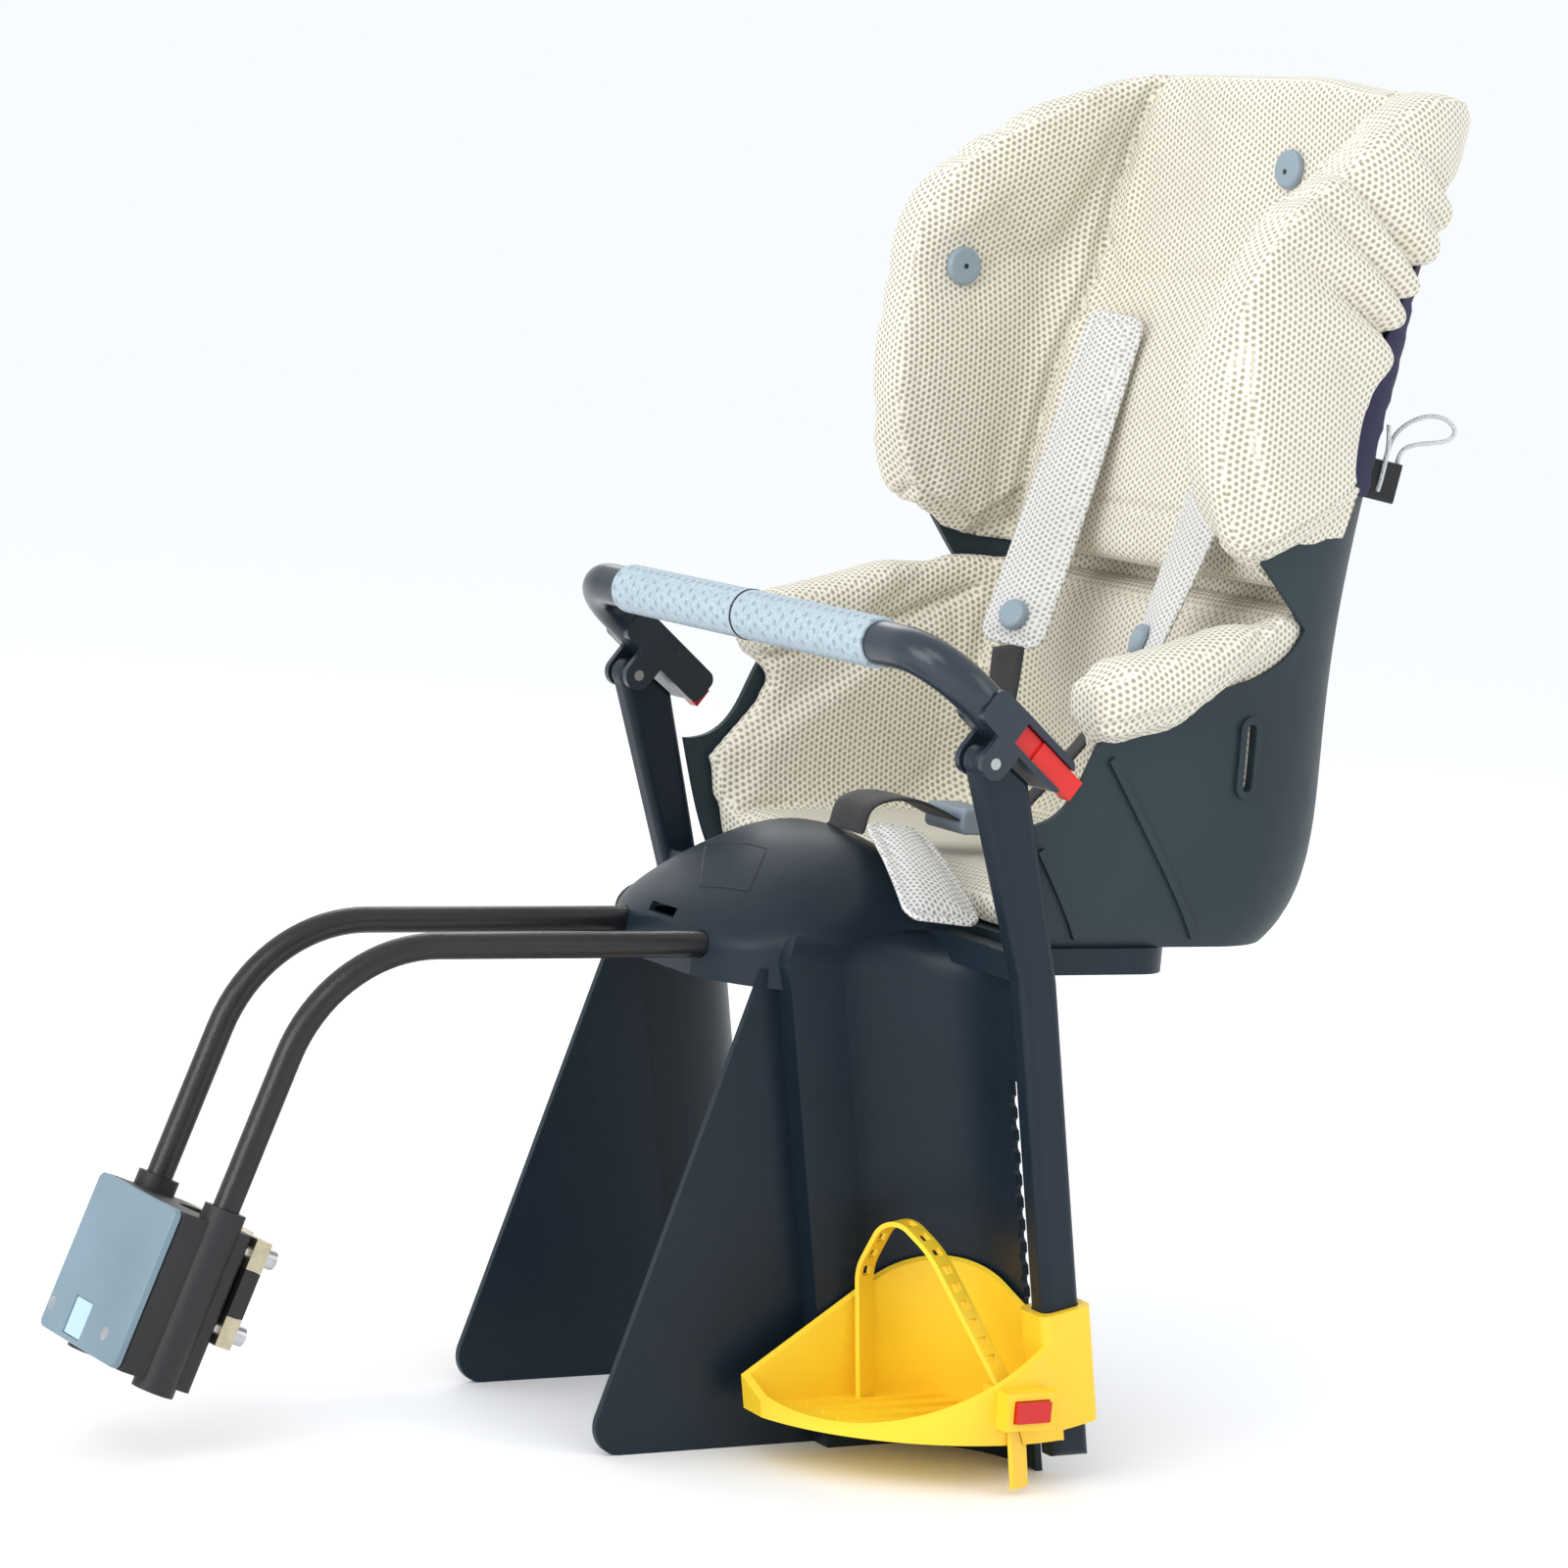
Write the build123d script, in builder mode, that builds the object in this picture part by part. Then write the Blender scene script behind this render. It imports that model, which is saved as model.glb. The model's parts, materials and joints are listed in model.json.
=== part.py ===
import os
from math import cos, hypot, radians, sin, tan

from build123d import *

# Child bike seat, in millimetres. X points forward, Y to the left and Z up. The origin is on the
# seat tube's axis, at the middle of the clamp. The seat is mirrored about the plane Y = 0.

# Seat tube clamp and mount block, measured square to the tube
tube_diameter = 34.9
tube_lean = 20.0
block_width = 92.0
block_height = 84.0
block_front = 40.0
block_rear = 3.0
block_corner = 4.0
cover_thickness = 4.0
cover_edge = 0.8
cover_screw_spacing = 66.0
cover_screw_drop = 29.0
cover_screw_diameter = 4.0
cover_screw_head = 7.0
cover_screw_length = 16.0
cover_feature_shift = -8.0
window_size = 20.0
button_clearance = 0.4
button_depth = 7.0
button_travel = 3.0
button_recess = 0.5
saddle_wall = 6.0
saddle_ear = 9.0
saddle_gap = 1.5
saddle_reach = 47.0
steel_saddle_height = 16.0
upper_saddle_level = 34.0
lower_saddle_level = -7.0
jaw_gap = 0.3
clamp_bolt_spacing = 84.0
clamp_bolt_diameter = 6.0
clamp_bolt_head = 10.0
clamp_bolt_head_height = 6.0
clamp_bolt_grip = 9.0

# Carrier rod, one bar bent to a long U
rod_diameter = 14.0
rod_spread = 80.0
rod_offset = 15.0
rod_level = 185.0
rod_rear = -535.0
rod_bend = 85.0
rod_end_bend = 36.0
sleeve_diameter = 22.0
sleeve_collar = 8.0
sleeve_foot = 5.0
socket_floor = -38.0
socket_clearance = 0.05
seat_gap = 0.3

# Seat shell: each ring is the moulding's outline at one level, with its rear, half width and corner
shell_wall = 4.0
shell_front = -330.0
shell_rings = [
    (203.0, -572.0, 160.0, 58.0),
    (238.0, -595.0, 170.0, 72.0),
    (300.0, -600.0, 172.0, 74.0),
    (350.0, -602.0, 170.0, 74.0),
    (410.0, -613.0, 162.0, 72.0),
    (510.0, -634.0, 156.0, 72.0),
    (640.0, -664.0, 138.0, 66.0),
    (700.0, -676.0, 122.0, 60.0),
]
arm_rest_rear = (-548.0, 374.0)
arm_rest_mid = (-470.0, 338.0)
arm_rest_front = (-424.0, 322.0)
panel_step = (-402.0, 282.0)
panel_front_top = (-372.0, 268.0)
panel_front_foot = (-390.0, 203.0)
wing_root = (-522.0, 404.0)
wing_front = (-487.0, 505.0)
wing_shoulder = (-532.0, 586.0)
wing_tip = (-622.0, 636.0)
belt_slot = (-513.0, 306.0)
belt_slot_length = 30.0
belt_slot_width = 6.0
belt_ring = 4.0
shoulder_slot_levels = [500.0, 560.0]
shoulder_slot_spread = 110.0
panel_rib = 4.0
panel_rib_height = 2.0
panel_rib_ends = [((-385.0, 256.0), (-418.0, 209.0)), ((-424.0, 304.0), (-494.0, 209.0))]

# Leg guard frame: dome, base tray, leg troughs, spoke guards and posts in one moulding
frame_wall = 4.0
dome_foot = 168.0
dome_rings = [
    (-264.0, 36.0, 182.0, 192.0),
    (-276.0, 66.0, 186.0, 208.0),
    (-300.0, 86.0, 190.0, 223.0),
    (-334.0, 89.0, 196.0, 241.0),
    (-378.0, 96.0, 202.0, 239.0),
    (-430.0, 108.0, 196.0, 214.0),
]
dome_lift = 0.4
dome_crown = 0.6
dome_slot_width = 26.0
dome_slot_height = 5.0
dome_slot_level = 197.0
tray_front = -372.0
tray_rear = -488.0
tray_width = 326.0
tray_top = 203.0
tray_skirt = 14.0
tray_corner = 24.0
leg_lean = 11.0
leg_bottom = -78.0
trough_front = -286.0
trough_side = 92.0
trough_bend = 55.0
trough_rear = -374.0
trough_edge = 160.0
knee_top = 201.0
knee_round = 18.0
knee_inner = 58.0
knee_back = 24.0
knee_depth = 34.0
slot_top = 134.0
notch_pitch = 12.0
notch_depth = 4.0
notch_count = 12
guard_side = 76.0
guard_thickness = 4.0
guard_top = (-283.0, 178.0)
guard_toe = (-199.0, -78.0)
guard_toe_radius = 16.0
post_inner = 172.0
post_thickness = 16.0
post_width = 23.0
post_knee = (-382.0, 190.0)
post_foot_level = -63.0
post_edge = 5.0
pivot = (-338.0, 303.0)
pivot_diameter = 6.0
knuckle_radius = 8.5
post_top_rear = (-364.0, 293.0)
running_clearance = 0.05

# Bumper bar
bar_x = -305.0
bar_z = 356.0
bar_tube_diameter = 16.0
bar_tube_wall = 1.5
bar_tube_half = 150.0
foam_diameter = 27.0
foam_end = 128.0
foam_edge = 3.0
elbow_diameter = 23.0
elbow_bend = 30.0
arm_slope = 38.0
arm_height = 20.0
arm_front_reach = 34.0
arm_rear_reach = 41.0
arm_corner = 6.0
recess_depth = 12.0
recess_rail = 3.6
recess_start = 26.0
lug_thickness = 4.0
lug_gap = 0.4
lug_radius = 8.5
tongue_front = 2.0
tongue_overhang = 9.0
tongue_thickness = 8.0
tongue_gap = 0.5
tongue_travel = 1.5
tongue_step = 15.0
tongue_step_depth = 1.5

# Footrest, sliding on the post
foot_sleeve_top = 17.0
foot_sleeve_height = 62.0
foot_sleeve_wall = 4.0
foot_clearance = 0.4
foot_floor_level = -52.0
foot_floor = 4.0
foot_wall = 3.2
foot_inner_gap = 2.5
foot_tip_x = -284.0
foot_nose = (-283.0, 114.0)
foot_bow = (-302.0, 152.0)
foot_outer = (-352.0, 187.0)
foot_wall_top = 40.0
foot_rim = [(-290.0, 95.0, -28.0), (-340.0, 186.0, -40.0), (-385.0, 105.0, 28.0)]
foot_rib = 3.0
foot_rib_height = 2.0
foot_rib_front = -312.0
foot_rib_length = 84.0
foot_rib_sides = [112.0, 127.0, 142.0, 157.0]
strap_width = 14.0
strap_thickness = 2.6
strap_root = (-350.0, 103.0)
strap_heel = (-390.0, 195.0)
strap_route = [(4.0, -47.6), (-4.0, 22.0), (12.0, 56.0), (40.0, 38.0), (96.0, -32.0), (103.0, -74.0)]
strap_bends = [25.0, 14.0, 60.0, 30.0]
strap_room = 0.6
strap_hole_length = 5.5
strap_hole_width = 7.5
strap_hole_first = 0.26
strap_hole_last = 0.74
strap_hole_count = 13
clip_boss_length = 30.0
clip_boss_height = 20.0
clip_boss_face = 204.0
clip_length = 22.0
clip_width = 12.0
clip_thickness = 4.0
clip_gap = 0.4
clip_travel = 1.5

# Clamp block under the tray and the bolts that tie the seat to it
rod_clamp_middle = -458.0
rod_clamp_length = 40.0
rod_clamp_width = 116.0
rod_clamp_drop = 5.0
seat_bolt_diameter = 6.0
seat_bolt_head = 11.0
seat_bolt_head_height = 4.0
seat_bolt_pitch = 22.0
seat_bolt_spread = 40.0

# Back cushion, side view: from the lower hem up round the wing and over the top edge
pad_clearance = 0.4
back_pad = 44.0
wing_pad = 18.0
back_skin = 14.0
back_hem = (-541.0, 391.0)
back_hem_front = (-489.0, 411.0)
back_front = (-462.0, 513.0)
back_shoulder = (-507.0, 601.0)
back_crest = (-571.0, 642.0)
back_top = (-632.0, 664.0)
back_top_rear = (-676.0, 652.0)
gather_top = (-640.0, 616.0)
gather_upper = (-592.0, 535.0)
gather_lower = (-575.0, 470.0)
gather_foot = (-581.0, 424.0)
elastic_thickness = 2.0
elastic_width = 24.0
elastic_gap = 1.0

# Seat cushion, side view: lining from the front edge, and the sleeve over each arm rest
seat_pad = 18.0
arm_pad = 14.0
arm_skin = 13.0
seat_front_foot = (-398.0, 200.0)
seat_front_top = (-384.0, 258.0)
seat_step = (-412.0, 290.0)
sleeve_root = (-421.0, 307.0)
sleeve_tip = (-408.0, 318.0)
sleeve_top_front = (-404.0, 343.0)
sleeve_top_middle = (-470.0, 358.0)
sleeve_top_rear = (-541.0, 384.0)
sleeve_hem_front = (-412.0, 313.0)
sleeve_hem_middle = (-464.0, 325.0)
sleeve_hem_rear = (-524.0, 372.0)

# Harness
harness_side = 22.0
shoulder_pad_top = (-579.0, -72.0, 530.0)
shoulder_pad_foot = (-517.0, -62.0, 338.0)
shoulder_pad_across = (-0.4, 0.92, 0.0)
shoulder_pad_width = 44.0
shoulder_pad_thickness = 9.0
shoulder_pad_edge = 3.0
snap_diameter = 18.0
snap_height = 5.0
snap_inset = 17.0
snap_round = 3.6
webbing_width = 20.0
webbing_thickness = 2.0
webbing_gap = 0.3
webbing_shift = 7.0
crotch_width = 36.0
crotch_foot = -362.0
crotch_route = [(-366.0, 260.0), (-398.0, 263.0), (-424.0, 252.0)]
crotch_bends = [6.0, 20.0]
buckle_length = 24.0
buckle_width = 38.0
buckle_height = 14.0
buckle_level = 251.0
buckle_edge = 4.0
buckle_tongue_length = 14.0
buckle_tongue_width = 31.0
buckle_tongue_height = 8.0
crotch_pad_top = (-376.0, 45.0, 250.0)
crotch_pad_foot = (-356.0, 134.0, 212.0)
crotch_pad_width = 45.0
crotch_pad_thickness = 9.0

# Cushion buttons, cord lock and the loop of drawcord that stands out of it
button_diameter = 22.0
button_height = 4.0
button_stand = 1.0
wing_button = (-515.0, 549.0)
back_button = (28.0, 618.0)
lock_aim = (-550.0, 87.0)
lock_level = 455.0
lock_turn = 27.7
lock_stand = 0.5
lock_length = 22.0
lock_width = 18.0
lock_thickness = 16.0
lock_edge = 2.5
cord_diameter = 2.6
cord_route = [
    (3.5, 0.0, 0.0),
    (3.5, 9.0, 0.0),
    (3.2, 18.0, 3.0),
    (2.5, 26.0, 10.5),
    (1.5, 30.0, 19.0),
    (0.5, 29.5, 27.5),
    (0.0, 24.5, 33.5),
    (-0.5, 18.5, 30.5),
    (-1.5, 15.5, 22.5),
    (-2.4, 13.0, 14.5),
    (-3.0, 9.5, 8.0),
    (-3.4, 5.0, 5.5),
    (-3.5, 0.0, 5.5),
]
cord_bend_share = 0.45
cord_gap = 0.05

os.makedirs("parts", exist_ok=True)


def save(builder, name):
    """Label a finished piece and write it to its own file."""
    builder.part.label = name
    export_step(builder.part, f"parts/{name}.step")


# The mount's own plane: its X is square to the tube and points forward, its Z runs up the tube
tube_plane = Plane(
    origin=(0, 0, 0),
    x_dir=(cos(radians(tube_lean)), 0, sin(radians(tube_lean))),
    z_dir=(-sin(radians(tube_lean)), 0, cos(radians(tube_lean))),
)


def at_tube(forward, side, up):
    """A point given in the mount's own directions."""
    return tube_plane.from_local_coords(Vector(forward, side, up))


rod_places = [(rod_offset, rod_spread / 2), (rod_offset, -rod_spread / 2)]
bolt_sides = [clamp_bolt_spacing / 2, -clamp_bolt_spacing / 2]
saddle_levels = [upper_saddle_level, lower_saddle_level]
block_bottom = -block_height / 2
cover_back = block_front
saddle_front = -block_rear - saddle_gap
saddle_back = saddle_front - saddle_ear

# Mount block
with BuildPart() as mount_block:
    with BuildSketch(tube_plane.offset(block_bottom)):
        with Locations(((block_front - block_rear) / 2, 0)):
            Rectangle(block_front + block_rear, block_width)
        fillet(vertices(), block_corner)
    extrude(amount=block_height)
    with BuildSketch(tube_plane.offset(block_bottom - sleeve_foot)):
        with Locations(*rod_places):
            Circle(sleeve_diameter / 2)
    extrude(amount=block_height + sleeve_foot + sleeve_collar)
    with BuildSketch(tube_plane.offset(socket_floor)):
        with Locations(*rod_places):
            Circle(rod_diameter / 2 + socket_clearance)
    extrude(amount=block_height + sleeve_collar, mode=Mode.SUBTRACT)
    with BuildSketch(tube_plane.offset(block_bottom - sleeve_foot)):
        Circle(tube_diameter / 2)
    extrude(amount=block_height + sleeve_foot + sleeve_collar, mode=Mode.SUBTRACT)
    for bolt_level in saddle_levels:
        for bolt_side in bolt_sides:
            bolt_start = at_tube(-block_rear, bolt_side, bolt_level)
            with BuildSketch(Plane(bolt_start, z_dir=tube_plane.x_dir)):
                Circle(clamp_bolt_diameter / 2)
            extrude(amount=clamp_bolt_grip, mode=Mode.SUBTRACT)
    button_seat = at_tube(block_front, cover_feature_shift, -cover_screw_drop)
    with BuildSketch(Plane(button_seat, x_dir=(0, 1, 0), z_dir=tube_plane.x_dir)):
        Rectangle(window_size, window_size)
    extrude(amount=-(button_depth + button_travel + seat_gap), mode=Mode.SUBTRACT)
    for screw_side in (1, -1):
        screw_y = cover_feature_shift + screw_side * cover_screw_spacing / 2
        screw_seat = at_tube(block_front, screw_y, -cover_screw_drop)
        with BuildSketch(Plane(screw_seat, x_dir=(0, 1, 0), z_dir=tube_plane.x_dir)):
            Circle(cover_screw_diameter / 2)
        extrude(amount=cover_thickness - cover_screw_length, mode=Mode.SUBTRACT)
save(mount_block, "mount_block")

# Cover plate over the block's front
cover_plane = Plane(at_tube(cover_back, 0, 0), x_dir=(0, 1, 0), z_dir=tube_plane.x_dir)
cover_screw_places = [
    (cover_feature_shift + cover_screw_spacing / 2, -cover_screw_drop),
    (cover_feature_shift - cover_screw_spacing / 2, -cover_screw_drop),
]
window_place = (cover_feature_shift, -cover_screw_drop)
with BuildPart() as mount_cover:
    with BuildSketch(cover_plane):
        Rectangle(block_width, block_height)
        fillet(vertices(), block_corner)
        with Locations(window_place):
            Rectangle(window_size, window_size, mode=Mode.SUBTRACT)
        with Locations(*cover_screw_places):
            Circle(cover_screw_diameter / 2, mode=Mode.SUBTRACT)
    extrude(amount=cover_thickness)
    with BuildSketch(cover_plane.offset(cover_thickness)):
        with Locations(*cover_screw_places):
            Circle(cover_screw_head / 2)
    extrude(amount=-cover_thickness / 2, mode=Mode.SUBTRACT)
    cover_face = faces().sort_by(Axis((0, 0, 0), cover_plane.z_dir))[-1]
    chamfer(cover_face.outer_wire().edges(), cover_edge)
save(mount_cover, "mount_cover")

# Two screws that hold the cover
with BuildPart() as cover_screws:
    with BuildSketch(cover_plane.offset(cover_thickness)):
        with Locations(*cover_screw_places):
            Circle(cover_screw_head / 2)
    extrude(amount=-cover_thickness / 2)
    with BuildSketch(cover_plane.offset(cover_thickness)):
        with Locations(*cover_screw_places):
            Circle(cover_screw_diameter / 2)
    extrude(amount=-cover_screw_length)
save(cover_screws, "cover_screws")

# Release button in the cover's window
with BuildPart() as release_button:
    with BuildSketch(cover_plane.offset(cover_thickness - button_recess)):
        with Locations(window_place):
            Rectangle(window_size - 2 * button_clearance, window_size - 2 * button_clearance)
        fillet(vertices(), cover_edge)
    extrude(amount=-(button_depth + cover_thickness - button_recess))
save(release_button, "release_button")


def saddle(height, level, ear):
    """A half-round clamp piece behind the tube, with a bolt ear each side."""
    with BuildPart() as piece:
        with BuildSketch(tube_plane.offset(level - height / 2)):
            Circle(tube_diameter / 2 + saddle_wall)
            with Locations((tube_diameter + saddle_front, 0)):
                Rectangle(2 * tube_diameter, 4 * tube_diameter, mode=Mode.SUBTRACT)
            with Locations((saddle_front - ear / 2, 0)):
                Rectangle(ear, 2 * saddle_reach)
            Circle(tube_diameter / 2, mode=Mode.SUBTRACT)
        extrude(amount=height)
        for bolt_side in bolt_sides:
            for bolt_level in saddle_levels:
                bolt_seat = at_tube(saddle_front, bolt_side, bolt_level)
                with BuildSketch(Plane(bolt_seat, z_dir=tube_plane.x_dir)):
                    Circle(clamp_bolt_diameter / 2)
                extrude(amount=-saddle_ear, mode=Mode.SUBTRACT)
    return piece.part


# Two steel saddles and the plastic jaw between them
with BuildPart() as clamp_saddles:
    for saddle_level in saddle_levels:
        add(saddle(steel_saddle_height, saddle_level, saddle_ear))
save(clamp_saddles, "clamp_saddles")

jaw_height = upper_saddle_level - lower_saddle_level - steel_saddle_height - 2 * jaw_gap
with BuildPart() as clamp_jaw:
    add(saddle(jaw_height, (upper_saddle_level + lower_saddle_level) / 2, saddle_ear))
save(clamp_jaw, "clamp_jaw")

# Four cap screws through the saddles into the block
with BuildPart() as clamp_bolts:
    for bolt_level in saddle_levels:
        for bolt_side in bolt_sides:
            bolt_back = at_tube(saddle_back, bolt_side, bolt_level)
            with BuildSketch(Plane(bolt_back, z_dir=tube_plane.x_dir)):
                Circle(clamp_bolt_diameter / 2)
            extrude(amount=-saddle_back - block_rear + clamp_bolt_grip)
            with BuildSketch(Plane(bolt_back, z_dir=tube_plane.x_dir)):
                Circle(clamp_bolt_head / 2)
            extrude(amount=-clamp_bolt_head_height)
save(clamp_bolts, "clamp_bolts")

# Carrier rod: out of one socket, up and back under the seat, round and down to the other
rod_corner_up = (rod_level - rod_offset * sin(radians(tube_lean))) / cos(radians(tube_lean))
rod_ends = [at_tube(rod_offset, side * rod_spread / 2, socket_floor + seat_gap) for side in (1, -1)]
rod_corners = [at_tube(rod_offset, side * rod_spread / 2, rod_corner_up) for side in (1, -1)]
with BuildPart() as carrier_bar:
    with BuildLine() as rod_path:
        FilletPolyline(
            rod_ends[0],
            rod_corners[0],
            (rod_rear, rod_spread / 2, rod_level),
            (rod_rear, -rod_spread / 2, rod_level),
            rod_corners[1],
            rod_ends[1],
            radius=[rod_bend, rod_end_bend, rod_end_bend, rod_bend],
        )
    with BuildSketch(Plane(rod_path.line @ 0, z_dir=rod_path.line % 0)):
        Circle(rod_diameter / 2)
    sweep(path=rod_path.line)
save(carrier_bar, "carrier_bar")


def shell_body(grow, front, side_grow):
    """The seat shell's outer form, grown at its rear and floor and at its sides, up to above its top."""
    with BuildPart() as body:
        for ring_index, (ring_level, ring_rear, ring_half, ring_corner) in enumerate(shell_rings):
            ring_drop = grow if ring_index == 0 else 0
            ring_length = front - ring_rear + grow
            with BuildSketch(Plane.XY.offset(ring_level - ring_drop)):
                with Locations((front - ring_length / 2, 0)):
                    Rectangle(ring_length, 2 * (ring_half + side_grow))
                fillet(vertices().sort_by(Axis.X)[:2], ring_corner + grow)
        loft()
    return body.part


def dome_body(grow, foot):
    """The dome's outer form, grown outward by a distance, down to its foot."""
    with BuildPart() as body:
        for ring_index, (ring_x, ring_half, ring_side, ring_top) in enumerate(dome_rings):
            ring_shift = grow if ring_index == 0 else 0
            if ring_index == len(dome_rings) - 1:
                ring_shift = -grow
            with BuildSketch(Plane((ring_x + ring_shift, 0, 0), x_dir=(0, 1, 0), z_dir=(1, 0, 0))):
                with BuildLine():
                    half = ring_half + grow
                    crown = ring_top + grow
                    lift = ring_side + dome_lift * (crown - ring_side)
                    Polyline((-half, ring_side), (-half, foot), (half, foot), (half, ring_side))
                    Bezier((half, ring_side), (half, lift), (dome_crown * half, crown), (0, crown))
                    Bezier((0, crown), (-dome_crown * half, crown), (-half, lift), (-half, ring_side))
                make_face()
        loft()
    return body.part


# Seat shell: bucket and back in one moulding
far_behind = 2 * shell_rings[-1][1]
far_below = 0.0
shell_half = max(ring[2] for ring in shell_rings)
def shell_layer(outer, inner):
    """The space between two grown forms of the shell, open at the front."""
    with BuildPart() as layer:
        add(shell_body(outer, shell_front, outer))
        add(shell_body(inner, shell_front + shell_wall, inner), mode=Mode.SUBTRACT)
    return layer.part


def shell_profile(room):
    """The shell's outline from the side, with room in front of it and above it."""
    def eased(*places):
        return [(x + 2 * room, z + room) for x, z in places]

    with BuildSketch(Plane.XZ) as profile:
        with BuildLine():
            Spline(*eased(panel_front_top, panel_step, arm_rest_front, arm_rest_mid, arm_rest_rear))
            Polyline(*eased(arm_rest_rear, wing_root))
            Spline(*eased(wing_root, wing_front, wing_shoulder, wing_tip))
            Polyline(
                *eased(
                    wing_tip,
                    (far_behind, wing_tip[1]),
                    (far_behind, far_below),
                    (panel_front_foot[0], far_below),
                    panel_front_foot,
                    panel_front_top,
                )
            )
        make_face()
    return profile.sketch


bolt_places = [
    (rod_clamp_middle + end * seat_bolt_pitch / 2, side * seat_bolt_spread / 2)
    for end in (1, -1)
    for side in (1, -1)
]
# Stiffening ribs and the raised rings round the belt slots
with BuildPart() as side_relief:
    add(shell_layer(panel_rib_height, -shell_wall / 2))
    with BuildSketch(Plane.XZ):
        for rib_start, rib_end in panel_rib_ends:
            with BuildLine():
                Line(rib_start, rib_end)
            trace(line_width=panel_rib)
        with Locations(belt_slot):
            SlotCenterToCenter(belt_slot_length, belt_slot_width + 2 * belt_ring, rotation=90)
    extrude(amount=2 * shell_half, both=True, mode=Mode.INTERSECT)

with BuildPart() as seat_shell:
    add(shell_layer(0, -shell_wall))
    extrude(shell_profile(0), amount=2 * shell_half, both=True, mode=Mode.INTERSECT)
    add(side_relief.part)
    with BuildSketch(Plane.XZ):
        with Locations(belt_slot):
            SlotCenterToCenter(belt_slot_length, belt_slot_width, rotation=90)
    extrude(amount=2 * shell_half, both=True, mode=Mode.SUBTRACT)
    with BuildSketch(Plane.YZ.offset(shell_rings[0][1])):
        for slot_level in shoulder_slot_levels:
            with Locations((shoulder_slot_spread / 2, slot_level), (-shoulder_slot_spread / 2, slot_level)):
                SlotCenterToCenter(belt_slot_length, belt_slot_width)
    extrude(amount=far_behind, mode=Mode.SUBTRACT)
    with BuildSketch(Plane.XY.offset(tray_top)):
        with Locations(*bolt_places):
            Circle(seat_bolt_diameter / 2)
    extrude(amount=shell_wall, mode=Mode.SUBTRACT)
    add(dome_body(seat_gap, dome_foot), mode=Mode.SUBTRACT)
save(seat_shell, "seat_shell")

# Leg guard frame
lean = tan(radians(leg_lean))
lean_down = (-sin(radians(leg_lean)), 0, -cos(radians(leg_lean)))
tray_half = tray_width / 2
tray_middle = (tray_front + tray_rear) / 2
trough_start = trough_rear + trough_bend
trough_turn = trough_side + trough_bend
post_middle = post_inner + post_thickness / 2


def leaned(x, level):
    """Where a line that starts at x on the tray's top has got to at a lower level."""
    return x - lean * (tray_top - level)


def post_x(level):
    """The post's middle at a level below its knee."""
    return post_knee[0] - lean * (post_knee[1] - level)


diagonal = sin(radians(45))


def knee_body(inset):
    """The knee's outer form, brought inward by a distance and left open towards the dome."""
    bend = trough_bend + inset
    face = trough_side - inset
    rear = trough_rear - inset
    with BuildPart() as body:
        with BuildSketch(Plane((leaned(0, knee_top - inset), 0, knee_top - inset))):
            with BuildLine():
                Polyline(
                    (trough_front - inset, knee_inner),
                    (trough_front - inset, face),
                    (trough_start, face),
                )
                ThreePointArc(
                    (trough_start, face),
                    (trough_start - bend * diagonal, trough_turn - bend * diagonal),
                    (rear, trough_turn),
                )
                Polyline(
                    (rear, trough_turn),
                    (rear, trough_edge),
                    (trough_rear - knee_back, trough_edge),
                    (trough_rear - knee_back, knee_inner),
                    (trough_front - inset, knee_inner),
                )
            make_face()
        extrude(amount=knee_depth / cos(radians(leg_lean)), dir=lean_down)
        brow = faces().sort_by(Axis.Z)[-1].edges().sort_by(Axis.X)[2:]
        fillet(brow.filter_by(lambda edge: edge.center().Y > knee_inner + frame_wall), knee_round - inset)
    return body.part


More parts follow.
